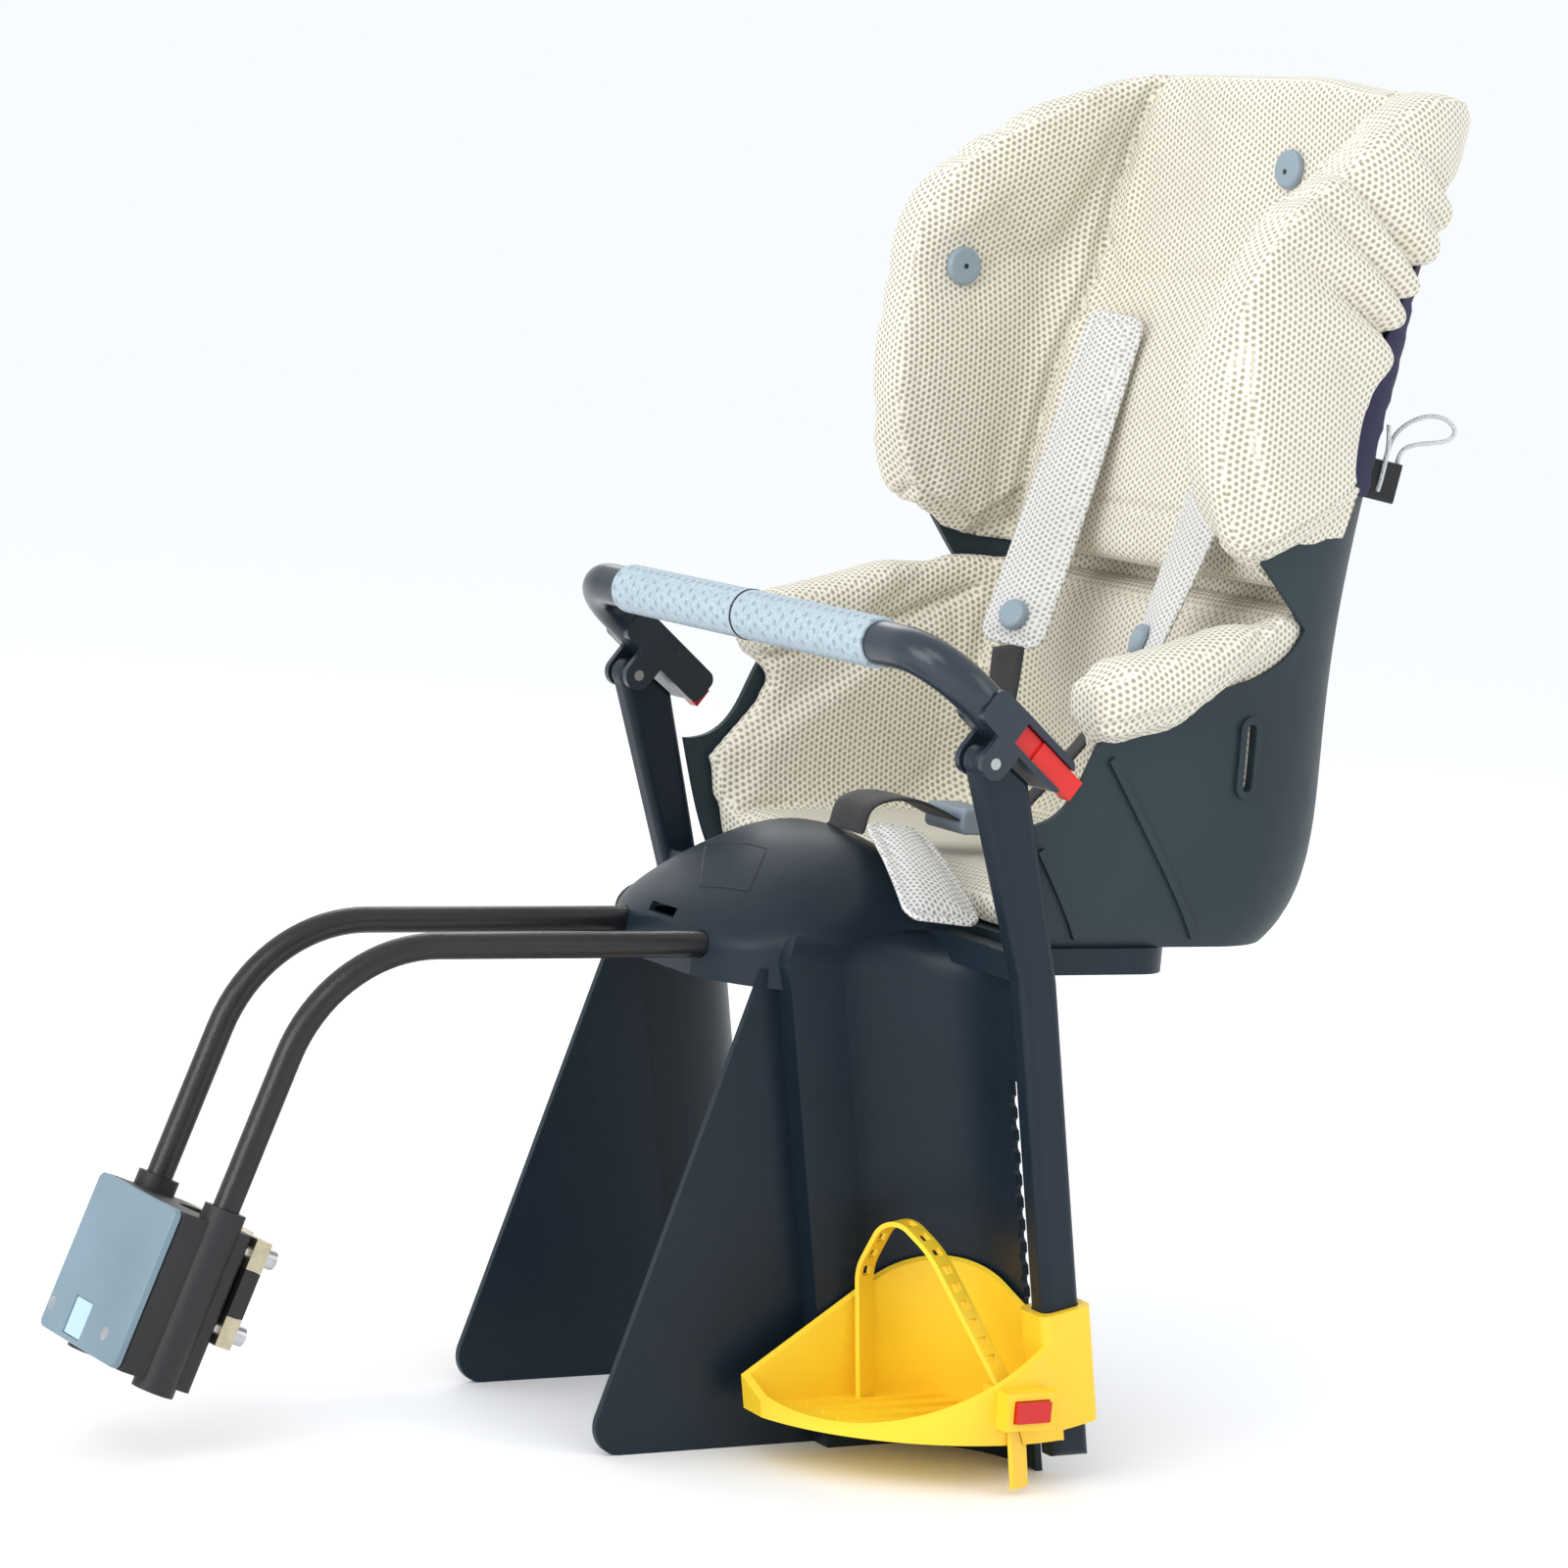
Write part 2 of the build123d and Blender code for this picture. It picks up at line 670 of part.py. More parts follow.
with BuildPart() as half_frame:
    # Leg trough, hung from the knee's lower edge
    knee_foot = knee_top - knee_depth
    with BuildSketch(Plane((leaned(0, knee_foot), 0, knee_foot))):
        with BuildLine():
            inner_bend = trough_bend + frame_wall
            Polyline(
                (trough_front - frame_wall, trough_side - frame_wall),
                (trough_front - frame_wall, guard_side),
                (trough_front, guard_side),
                (trough_front, trough_side),
                (trough_start, trough_side),
            )
            ThreePointArc(
                (trough_start, trough_side),
                (trough_start - trough_bend * diagonal, trough_turn - trough_bend * diagonal),
                (trough_rear, trough_turn),
            )
            Polyline(
                (trough_rear, trough_turn),
                (trough_rear, trough_edge),
                (trough_rear - frame_wall, trough_edge),
                (trough_rear - frame_wall, trough_turn),
            )
            ThreePointArc(
                (trough_rear - frame_wall, trough_turn),
                (trough_start - inner_bend * diagonal, trough_turn - inner_bend * diagonal),
                (trough_start, trough_side - frame_wall),
            )
            Line(
                (trough_start, trough_side - frame_wall),
                (trough_front - frame_wall, trough_side - frame_wall),
            )
        make_face()
    extrude(amount=(knee_foot - leg_bottom) / cos(radians(leg_lean)), dir=lean_down)
    # Height notches along the trough's outer edge
    for notch_index in range(notch_count):
        notch_level = slot_top - notch_pitch * (notch_index + 1)
        notch_x = leaned(trough_rear, notch_level) + frame_wall
        with BuildSketch(Plane.YZ.offset(notch_x)):
            with Locations((trough_edge + notch_depth / 2, notch_level)):
                Circle(notch_depth)
        extrude(amount=-4 * frame_wall, mode=Mode.SUBTRACT)
    # Bridge from the trough to the post, above the slot
    with BuildSketch(Plane.XY.offset(tray_top)):
        bridge_inner = trough_turn
        with Locations((trough_rear - frame_wall / 2, (bridge_inner + post_middle) / 2)):
            Rectangle(frame_wall, post_middle - bridge_inner)
    extrude(amount=(tray_top - slot_top) / cos(radians(leg_lean)), dir=lean_down)
    # Spoke guard
    with BuildSketch(Plane.XZ.offset(-guard_side + guard_thickness / 2)):
        with BuildLine():
            Polyline(
                guard_top,
                guard_toe,
                (leaned(trough_front - frame_wall, leg_bottom), leg_bottom),
                (leaned(trough_front - frame_wall, guard_top[1]), guard_top[1]),
                close=True,
            )
        make_face()
        fillet(vertices().sort_by(Axis.X)[-1], guard_toe_radius)
    extrude(amount=-guard_thickness)
    # Rounded knee that carries the trough's face over into the dome
    add(knee_body(0))
    add(knee_body(frame_wall), mode=Mode.SUBTRACT)
    # Ear that ties the tray to the post
    with BuildSketch(Plane.XY.offset(tray_top - tray_skirt)):
        with Locations((post_knee[0], (tray_half + post_middle) / 2 - frame_wall)):
            Rectangle(post_width, post_middle - tray_half + 2 * frame_wall)
    extrude(amount=tray_skirt)

with BuildPart() as half_post:
    with BuildSketch(Plane.XZ.offset(-post_inner)):
        post_half = post_width / 2
        with BuildLine():
            Polyline(
                (pivot[0] + knuckle_radius * cos(radians(leg_lean)), pivot[1]),
                (post_knee[0] + post_half, post_knee[1]),
                (post_x(post_foot_level) + post_half, post_foot_level),
                (post_x(post_foot_level) - post_half, post_foot_level),
                (post_knee[0] - post_half, post_knee[1]),
                post_top_rear,
                (pivot[0], pivot[1] + knuckle_radius),
                close=True,
            )
        make_face()
        with Locations(pivot):
            Circle(knuckle_radius)
    extrude(amount=-post_thickness)
    post_outline = faces().filter_by(Axis.Y).sort_by(Axis.Y)
    fillet(post_outline[0].outer_wire().edges() + post_outline[-1].outer_wire().edges(), post_edge)
    with BuildSketch(Plane.XZ.offset(-post_inner)):
        with Locations(pivot):
            Circle(pivot_diameter / 2 + running_clearance)
    extrude(amount=-post_thickness, mode=Mode.SUBTRACT)

with BuildPart() as leg_guard_frame:
    with BuildSketch(Plane.XY.offset(tray_top - tray_skirt)):
        with Locations((tray_middle, 0)):
            Rectangle(tray_front - tray_rear, tray_width)
        fillet(vertices().sort_by(Axis.X)[:2], tray_corner)
    extrude(amount=tray_skirt)
    add(dome_body(0, dome_foot))
    with BuildSketch(Plane.XY.offset(tray_top - tray_skirt)):
        with Locations((tray_middle, 0)):
            Rectangle(tray_front - tray_rear - 2 * frame_wall, tray_width - 2 * frame_wall)
        fillet(vertices().sort_by(Axis.X)[:2], tray_corner - frame_wall)
    extrude(amount=tray_skirt - frame_wall, mode=Mode.SUBTRACT)
    add(dome_body(-frame_wall, dome_foot - frame_wall), mode=Mode.SUBTRACT)
    add(half_frame.part)
    add(half_post.part)
    add(mirror(half_frame.part, about=Plane.XZ, mode=Mode.PRIVATE))
    add(mirror(half_post.part, about=Plane.XZ, mode=Mode.PRIVATE))
    with BuildSketch(Plane.YZ.offset(dome_rings[0][0] + frame_wall)):
        with Locations((rod_spread / 2, rod_level), (-rod_spread / 2, rod_level)):
            Circle(rod_diameter / 2 + seat_gap)
    extrude(amount=rod_rear - rod_diameter, mode=Mode.SUBTRACT)
    with BuildSketch(Plane.YZ.offset(dome_rings[0][0] + frame_wall)):
        with Locations((0, dome_slot_level)):
            Rectangle(dome_slot_width, dome_slot_height)
    extrude(amount=-10 * frame_wall, mode=Mode.SUBTRACT)
    with BuildSketch(Plane.XY.offset(tray_top)):
        with Locations(*bolt_places):
            Circle(seat_bolt_diameter / 2)
    extrude(amount=-frame_wall, mode=Mode.SUBTRACT)
save(leg_guard_frame, "leg_guard_frame")

# Clamp block round the rod, under the tray
clamp_top = tray_top - frame_wall
clamp_bottom = rod_level - rod_diameter / 2 - rod_clamp_drop
with BuildPart() as rod_clamp:
    with BuildSketch(Plane.XY.offset(clamp_bottom)):
        with Locations((rod_clamp_middle, 0)):
            Rectangle(rod_clamp_length, rod_clamp_width)
        fillet(vertices(), block_corner)
    extrude(amount=clamp_top - clamp_bottom)
    with BuildSketch(Plane.YZ.offset(rod_clamp_middle)):
        with Locations((rod_spread / 2, rod_level), (-rod_spread / 2, rod_level)):
            Circle(rod_diameter / 2 + running_clearance)
    extrude(amount=rod_clamp_length, both=True, mode=Mode.SUBTRACT)
    with BuildSketch(Plane.XY.offset(clamp_bottom)):
        with Locations(*bolt_places):
            Circle(seat_bolt_diameter / 2)
    extrude(amount=clamp_top - clamp_bottom, mode=Mode.SUBTRACT)
save(rod_clamp, "rod_clamp")

# Four bolts up through the clamp block, the tray and the shell's floor
with BuildPart() as seat_bolts:
    with BuildSketch(Plane.XY.offset(clamp_bottom)):
        with Locations(*bolt_places):
            Circle(seat_bolt_diameter / 2)
    extrude(amount=tray_top + shell_wall - clamp_bottom)
    with BuildSketch(Plane.XY.offset(clamp_bottom)):
        with Locations(*bolt_places):
            Circle(seat_bolt_head / 2)
    extrude(amount=-seat_bolt_head_height)
save(seat_bolts, "seat_bolts")

# Bumper arm: measured along its own slope from the pivot, which its underside clears
arm_cos = cos(radians(arm_slope))
arm_sin = sin(radians(arm_slope))
arm_axis_rise = (bar_x - pivot[0]) * -arm_sin + (bar_z - pivot[1]) * arm_cos
arm_front_end = (bar_x - pivot[0]) * arm_cos + (bar_z - pivot[1]) * arm_sin - arm_front_reach


def arm_plane(side):
    """The upright plane of the left arm at a side distance, with its X running back down the arm."""
    return Plane((pivot[0], side, pivot[1]), x_dir=(-arm_cos, 0, -arm_sin), z_dir=(0, 1, 0))


lug_outer = post_inner + post_thickness + lug_gap
arm_inner = post_inner - lug_gap - lug_thickness
arm_outer = lug_outer + lug_thickness
arm_middle = (arm_inner + arm_outer) / 2
arm_length = arm_front_end + arm_rear_reach
elbow_side = arm_middle
with BuildPart() as bumper_arm_left:
    with BuildSketch(arm_plane(arm_inner)):
        with Locations(((arm_rear_reach - arm_front_end) / 2, arm_axis_rise)):
            Rectangle(arm_length, arm_height)
        fillet(vertices(), arm_corner)
    extrude(amount=arm_outer - arm_inner)
    for lug_start in (arm_inner, lug_outer):
        with BuildSketch(arm_plane(lug_start)):
            Circle(lug_radius)
            with Locations((0, arm_axis_rise / 2)):
                Rectangle(2 * lug_radius, arm_axis_rise)
        extrude(amount=lug_thickness)
    elbow_run = arm_front_reach + elbow_diameter / 2
    with BuildLine() as elbow_path:
        FilletPolyline(
            (bar_x - arm_cos * elbow_run, elbow_side, bar_z - arm_sin * elbow_run),
            (bar_x, elbow_side, bar_z),
            (bar_x, foam_end, bar_z),
            radius=elbow_bend,
        )
    with BuildSketch(Plane(elbow_path.line @ 0, z_dir=elbow_path.line % 0)):
        Circle(elbow_diameter / 2)
    sweep(path=elbow_path.line)
    # Recess for the latch tongue, open to the outside and the rear
    recess_run = arm_rear_reach + arm_corner + arm_front_end - recess_start
    with BuildSketch(arm_plane(arm_outer)):
        with Locations((recess_start - arm_front_end + recess_run / 2, arm_axis_rise)):
            Rectangle(recess_run, arm_height - 2 * recess_rail)
    extrude(amount=-recess_depth, mode=Mode.SUBTRACT)
    for lug_start in (arm_inner, lug_outer):
        with BuildSketch(arm_plane(lug_start)):
            Circle(pivot_diameter / 2)
        extrude(amount=lug_thickness, mode=Mode.SUBTRACT)
    with BuildSketch(Plane.XZ.offset(-foam_end)):
        with Locations((bar_x, bar_z)):
            Circle(bar_tube_diameter / 2)
    extrude(amount=foam_end - bar_tube_half, mode=Mode.SUBTRACT)
save(bumper_arm_left, "bumper_arm_left")

with BuildPart() as bumper_arm_right:
    mirror(bumper_arm_left.part, about=Plane.XZ)
save(bumper_arm_right, "bumper_arm_right")

# Hinge pins through each arm's lugs and the post's knuckle
with BuildPart() as bumper_pins:
    with BuildSketch(Plane.XZ.offset(-arm_inner)):
        with Locations(pivot):
            Circle(pivot_diameter / 2)
    extrude(amount=arm_inner - arm_outer)
    mirror(about=Plane.XZ)
save(bumper_pins, "bumper_pins")

# Latch tongue lying in each arm's recess
tongue_width = arm_height - 2 * recess_rail - 2 * tongue_gap
tongue_end = arm_rear_reach + tongue_overhang
tongue_back = arm_outer - recess_depth + tongue_travel + seat_gap
with BuildPart() as latch_tongue_left:
    with BuildSketch(arm_plane(tongue_back)):
        with Locations(((tongue_front + tongue_end) / 2, arm_axis_rise)):
            Rectangle(tongue_end - tongue_front, tongue_width)
        fillet(vertices().sort_by(Axis.X)[:2], arm_corner / 2)
    extrude(amount=tongue_thickness)
    with BuildSketch(arm_plane(tongue_back + tongue_thickness)):
        with Locations((tongue_front + tongue_step / 2, arm_axis_rise)):
            Rectangle(tongue_step, tongue_width)
    extrude(amount=-tongue_step_depth, mode=Mode.SUBTRACT)
save(latch_tongue_left, "latch_tongue_left")

with BuildPart() as latch_tongue_right:
    mirror(latch_tongue_left.part, about=Plane.XZ)
save(latch_tongue_right, "latch_tongue_right")

# Steel tube inside the bumper and its two foam sleeves
with BuildPart() as bumper_tube:
    with BuildSketch(Plane.XZ):
        with Locations((bar_x, bar_z)):
            Circle(bar_tube_diameter / 2)
            Circle(bar_tube_diameter / 2 - bar_tube_wall, mode=Mode.SUBTRACT)
    extrude(amount=bar_tube_half, both=True)
save(bumper_tube, "bumper_tube")

with BuildPart() as bumper_foam_left:
    with BuildSketch(Plane.XZ.offset(-seat_gap / 2)):
        with Locations((bar_x, bar_z)):
            Circle(foam_diameter / 2)
            Circle(bar_tube_diameter / 2, mode=Mode.SUBTRACT)
    extrude(amount=seat_gap - foam_end)
    foam_rims = edges().filter_by(GeomType.CIRCLE).group_by(SortBy.RADIUS)[-1]
    fillet(foam_rims, foam_edge / 2)
save(bumper_foam_left, "bumper_foam_left")

with BuildPart() as bumper_foam_right:
    mirror(bumper_foam_left.part, about=Plane.XZ)
save(bumper_foam_right, "bumper_foam_right")

# Foot strap: a perforated band in an upright plane across the footrest
strap_span = hypot(strap_heel[0] - strap_root[0], strap_heel[1] - strap_root[1])
strap_dir = Vector(strap_heel[0] - strap_root[0], strap_heel[1] - strap_root[1], 0) / strap_span
strap_side = Vector(strap_dir.Y, -strap_dir.X, 0)


def strap_point(along, level):
    """A point of the strap's plane, by distance from its root and by level."""
    return Vector(strap_root[0], strap_root[1], level) + strap_dir * along


def strap_band(room):
    """The strap's band with room around it, without its holes."""
    with BuildPart() as band:
        with BuildLine() as band_path:
            FilletPolyline(*[strap_point(*place) for place in strap_route], radius=strap_bends)
        with BuildSketch(Plane(band_path.line @ 0, x_dir=strap_side, z_dir=band_path.line % 0)):
            Rectangle(strap_width + 2 * room, strap_thickness + 2 * room)
        sweep(path=band_path.line)
    return band.part


with BuildLine() as strap_path:
    FilletPolyline(*[strap_point(*place) for place in strap_route], radius=strap_bends)

with BuildPart() as foot_strap_left:
    add(strap_band(0))
    for hole_index in range(strap_hole_count):
        hole_share = hole_index / (strap_hole_count - 1)
        hole_at = strap_hole_first + (strap_hole_last - strap_hole_first) * hole_share
        hole_plane = Plane(
            strap_path.line @ hole_at,
            x_dir=strap_side,
            z_dir=(strap_path.line % hole_at).cross(strap_side),
        )
        with BuildSketch(hole_plane):
            Rectangle(strap_hole_width, strap_hole_length)
        extrude(amount=strap_thickness, both=True, mode=Mode.SUBTRACT)
save(foot_strap_left, "foot_strap_left")

with BuildPart() as foot_strap_right:
    mirror(foot_strap_left.part, about=Plane.XZ)
save(foot_strap_right, "foot_strap_right")

# Footrest: a sleeve on the post and a cup that follows the trough
lean_up = (-lean_down[0], 0, -lean_down[2])
sleeve_bottom = foot_sleeve_top - foot_sleeve_height
sleeve_start = (post_x(sleeve_bottom), post_middle, sleeve_bottom)
sleeve_plane = Plane(sleeve_start, x_dir=(-lean_down[2], 0, lean_down[0]), z_dir=lean_up)
sleeve_bore_x = post_width * cos(radians(leg_lean)) + 2 * foot_clearance
sleeve_bore_y = post_thickness + 2 * foot_clearance
cup_start = leaned(trough_start, foot_floor_level)
cup_side = trough_side + foot_inner_gap
cup_bend = trough_bend - foot_inner_gap
cup_rear = cup_start - cup_bend
cup_corner = (post_x(foot_floor_level) + post_width / 2, post_inner + post_thickness + foot_sleeve_wall)
cup_height = (foot_wall_top - foot_floor_level) / cos(radians(leg_lean))
with BuildPart() as footrest_left:
    with BuildSketch(Plane.XY.offset(foot_floor_level)) as cup_outline:
        with BuildLine():
            Polyline((foot_nose[0], foot_nose[1]), (foot_tip_x, cup_side), (cup_start, cup_side))
            ThreePointArc(
                (cup_start, cup_side),
                (cup_start - cup_bend * diagonal, cup_side + cup_bend * (1 - diagonal)),
                (cup_rear, cup_side + cup_bend),
            )
            Polyline((cup_rear, cup_side + cup_bend), (cup_rear, cup_corner[1]), cup_corner)
            Spline(cup_corner, foot_outer, foot_bow, foot_nose)
        make_face()
    extrude(amount=cup_height, dir=lean_up)
    rim_face = Face(Wire.make_polygon([Vector(*corner) for corner in foot_rim]))
    split(bisect_by=Plane(rim_face), keep=Keep.BOTTOM)
    with BuildSketch(Plane.XY.offset(foot_floor_level + foot_floor)):
        with BuildLine():
            Polyline(
                (foot_nose[0] - foot_wall, foot_nose[1]),
                (foot_tip_x - foot_wall, cup_side + foot_wall),
                (cup_start, cup_side + foot_wall),
            )
            cup_hollow = cup_bend - foot_wall
            ThreePointArc(
                (cup_start, cup_side + foot_wall),
                (cup_start - cup_hollow * diagonal, cup_side + cup_bend - cup_hollow * diagonal),
                (cup_start - cup_hollow, cup_side + cup_bend),
            )
            Polyline(
                (cup_start - cup_hollow, cup_side + cup_bend),
                (cup_start - cup_hollow, cup_corner[1] - foot_wall),
                (cup_corner[0], cup_corner[1] - foot_wall),
            )
            Spline(
                (cup_corner[0], cup_corner[1] - foot_wall),
                (foot_outer[0], foot_outer[1] - foot_wall),
                (foot_bow[0] - foot_wall * diagonal, foot_bow[1] - foot_wall * diagonal),
                (foot_nose[0] - foot_wall, foot_nose[1]),
            )
        make_face()
    extrude(amount=cup_height, dir=lean_up, mode=Mode.SUBTRACT)
    for rib_side in foot_rib_sides:
        with Locations((foot_rib_front - foot_rib_length / 2, rib_side, foot_floor_level + foot_floor)):
            Box(foot_rib_length, foot_rib, 2 * foot_rib_height)
    with BuildSketch(sleeve_plane):
        Rectangle(sleeve_bore_x + 2 * foot_sleeve_wall, sleeve_bore_y + 2 * foot_sleeve_wall)
        fillet(vertices(), post_edge)
    extrude(amount=foot_sleeve_height / cos(radians(leg_lean)))
    with Locations((strap_heel[0], (clip_boss_face + post_middle) / 2, strap_route[-2][1])):
        Box(clip_boss_length, clip_boss_face - post_middle, clip_boss_height)
    with BuildSketch(sleeve_plane.offset(-foot_sleeve_height)):
        Rectangle(sleeve_bore_x, sleeve_bore_y)
        fillet(vertices(), post_edge)
    extrude(amount=3 * foot_sleeve_height, mode=Mode.SUBTRACT)
    add(strap_band(strap_room), mode=Mode.SUBTRACT)
    clip_room = clip_thickness + clip_travel - tongue_step_depth
    with Locations((strap_heel[0], clip_boss_face, strap_route[-2][1])):
        Box(clip_length, 2 * clip_room, clip_width, mode=Mode.SUBTRACT)
save(footrest_left, "footrest_left")

with BuildPart() as footrest_right:
    mirror(footrest_left.part, about=Plane.XZ)
save(footrest_right, "footrest_right")

# Strap release buttons, pressed into the footrests' bosses
with BuildPart() as strap_clip_left:
    clip_middle = clip_boss_face - tongue_step_depth + clip_thickness / 2
    with Locations((strap_heel[0], clip_middle, strap_route[-2][1])):
        Box(clip_length - 2 * clip_gap, clip_thickness, clip_width - 2 * clip_gap)
    fillet(edges().filter_by(Axis.Y), cover_edge)
save(strap_clip_left, "strap_clip_left")

with BuildPart() as strap_clip_right:
    mirror(strap_clip_left.part, about=Plane.XZ)
save(strap_clip_right, "strap_clip_right")

# Space kept free round the shell's wall for the covers
with BuildPart() as shell_space:
    add(shell_layer(pad_clearance, -shell_wall - pad_clearance))
    extrude(shell_profile(pad_clearance), amount=2 * shell_half, both=True, mode=Mode.INTERSECT)


def gather_region(shift):
    """The side view behind the gathered hem, moved back and down by a distance."""
    def moved(place):
        return (place[0] - shift, place[1] - shift)

    with BuildSketch(Plane.XZ) as region:
        with BuildLine():
            Spline(*[moved(place) for place in (gather_top, gather_upper, gather_lower, gather_foot)])
            Polyline(
                moved(gather_foot),
                moved(back_hem),
                moved((back_hem[0], arm_rest_rear[1])),
                moved((far_behind, arm_rest_rear[1])),
                moved((far_behind, gather_top[1])),
                moved(gather_top),
            )
        make_face()
    return region.sketch


# Back cushion: lining, rolled front edges, and a pocket over the wings and the top
with BuildPart() as behind_gather:
    add(shell_layer(2 * back_skin, -shell_wall / 2))
    extrude(gather_region(0), amount=2 * shell_half, both=True, mode=Mode.INTERSECT)

with BuildPart() as back_cushion:
    add(shell_body(back_skin, shell_front, back_skin))
    add(
        shell_body(-shell_wall - back_pad, shell_front + shell_wall, -shell_wall - wing_pad),
        mode=Mode.SUBTRACT,
    )
    with BuildSketch(Plane.XZ):
        with BuildLine():
            Spline(back_hem_front, back_front, back_shoulder, back_crest, back_top, back_top_rear)
            Polyline(
                back_top_rear,
                (far_behind, back_top_rear[1]),
                (far_behind, back_hem[1]),
                back_hem,
                back_hem_front,
            )
        make_face()
    extrude(amount=2 * shell_half, both=True, mode=Mode.INTERSECT)
    add(shell_space.part, mode=Mode.SUBTRACT)
    add(behind_gather.part, mode=Mode.SUBTRACT)
save(back_cushion, "back_cushion")

# Elastic band behind the gathered hem
with BuildPart() as elastic_hem:
    add(shell_layer(pad_clearance + elastic_thickness, pad_clearance))
    extrude(gather_region(elastic_gap), amount=2 * shell_half, both=True, mode=Mode.INTERSECT)
    extrude(gather_region(elastic_width), amount=2 * shell_half, both=True, mode=Mode.SUBTRACT)
save(elastic_hem, "elastic_hem")

# Seat cushion: lining of the bucket, and a sleeve over each arm rest
with BuildPart() as below_sleeve:
    add(shell_layer(2 * arm_skin, -shell_wall / 2))
    with BuildSketch(Plane.XZ):
        with BuildLine():
            Polyline(
                (shell_front, sleeve_hem_front[1]),
                sleeve_hem_front,
                sleeve_hem_middle,
                sleeve_hem_rear,
                back_hem,
                (far_behind, back_hem[1]),
                (far_behind, far_below),
                (shell_front, far_below),
                close=True,
            )
        make_face()
    extrude(amount=2 * shell_half, both=True, mode=Mode.INTERSECT)

with BuildPart() as seat_cushion:
    add(shell_body(arm_skin, shell_front, arm_skin))
    add(
        shell_body(-shell_wall - seat_pad, shell_front + shell_wall, -shell_wall - arm_pad),
        mode=Mode.SUBTRACT,
    )
    with BuildSketch(Plane.XZ):
        with BuildLine():
            Polyline(seat_front_foot, seat_front_top, seat_step, sleeve_root, sleeve_tip, sleeve_top_front)
            Spline(sleeve_top_front, sleeve_top_middle, sleeve_top_rear)
            Polyline(
                sleeve_top_rear,
                (far_behind, sleeve_top_rear[1]),
                (far_behind, seat_front_foot[1]),
                seat_front_foot,
            )
        make_face()
    extrude(amount=2 * shell_half, both=True, mode=Mode.INTERSECT)
    add(shell_space.part, mode=Mode.SUBTRACT)
    add(below_sleeve.part, mode=Mode.SUBTRACT)
    add(dome_body(seat_gap + pad_clearance, dome_foot), mode=Mode.SUBTRACT)
save(seat_cushion, "seat_cushion")

# Shoulder pads, each with its snap
pad_run = Vector(*shoulder_pad_foot) - Vector(*shoulder_pad_top)
pad_start = Plane(shoulder_pad_top, x_dir=shoulder_pad_across, z_dir=pad_run)
with BuildPart() as shoulder_pad_right:
    with BuildSketch(pad_start):
        Rectangle(shoulder_pad_width, shoulder_pad_thickness)
        fillet(vertices(), shoulder_pad_edge)
    extrude(amount=pad_run.length)
save(shoulder_pad_right, "shoulder_pad_right")

with BuildPart() as shoulder_pad_left:
    mirror(shoulder_pad_right.part, about=Plane.XZ)
save(shoulder_pad_left, "shoulder_pad_left")

snap_place = pad_start.from_local_coords(
    Vector(0, shoulder_pad_thickness / 2, pad_run.length - snap_inset)
)
with BuildPart() as strap_snaps:
    with BuildSketch(Plane(snap_place, x_dir=shoulder_pad_across, z_dir=pad_start.y_dir)):
        Circle(snap_diameter / 2)
    extrude(amount=snap_height)
    snap_rim = edges().filter_by(GeomType.CIRCLE).sort_by(Axis((0, 0, 0), pad_start.y_dir))[-1]
    fillet(snap_rim, snap_round)
    mirror(about=Plane.XZ)
save(strap_snaps, "strap_snaps")



def skin_hits(piece, start, direction):
    """Where a line from a point goes through a piece's skin, and the way that the skin faces there."""
    hits = piece.shells()[0].find_intersection_points(Axis(start, direction))
    return [hit for hit in hits if (hit[0] - Vector(*start)).dot(Vector(*direction)) > 0]


# Crotch strap, buckle and its tongue
crotch_end = crotch_route[-1][0]
crotch_edge = harness_side - crotch_width / 2
dome_top = skin_hits(leg_guard_frame.part, (crotch_foot, crotch_edge, wing_tip[1]), (0, 0, -1))[0][0]
crotch_start = (crotch_foot, dome_top.Z + 2 * webbing_gap)
with BuildPart() as crotch_webbing:
    with BuildLine() as crotch_path:
        FilletPolyline(*[(x, harness_side, z) for x, z in [crotch_start] + crotch_route], radius=crotch_bends)
    with BuildSketch(Plane(crotch_path.line @ 0, x_dir=(0, 1, 0), z_dir=crotch_path.line % 0)):
        Rectangle(crotch_width, webbing_thickness)
    sweep(path=crotch_path.line)
save(crotch_webbing, "crotch_webbing")

buckle_front = crotch_end - webbing_gap - webbing_thickness / 2
buckle_rear = buckle_front - buckle_length
with BuildPart() as buckle_body:
    with Locations(((buckle_front + buckle_rear) / 2, harness_side, buckle_level)):
        Box(buckle_length, buckle_width, buckle_height)
    fillet(edges().filter_by(Axis.Y), buckle_edge)
    fillet(edges().filter_by(Axis.Z), buckle_edge / 2)
save(buckle_body, "buckle_body")

tongue_root = buckle_rear - webbing_gap
with BuildPart() as buckle_tongue:
    with Locations((tongue_root - buckle_tongue_length / 2, harness_side, buckle_level)):
        Box(buckle_tongue_length, buckle_tongue_width, buckle_tongue_height)
    fillet(edges().filter_by(Axis.Z), buckle_edge / 2)
save(buckle_tongue, "buckle_tongue")

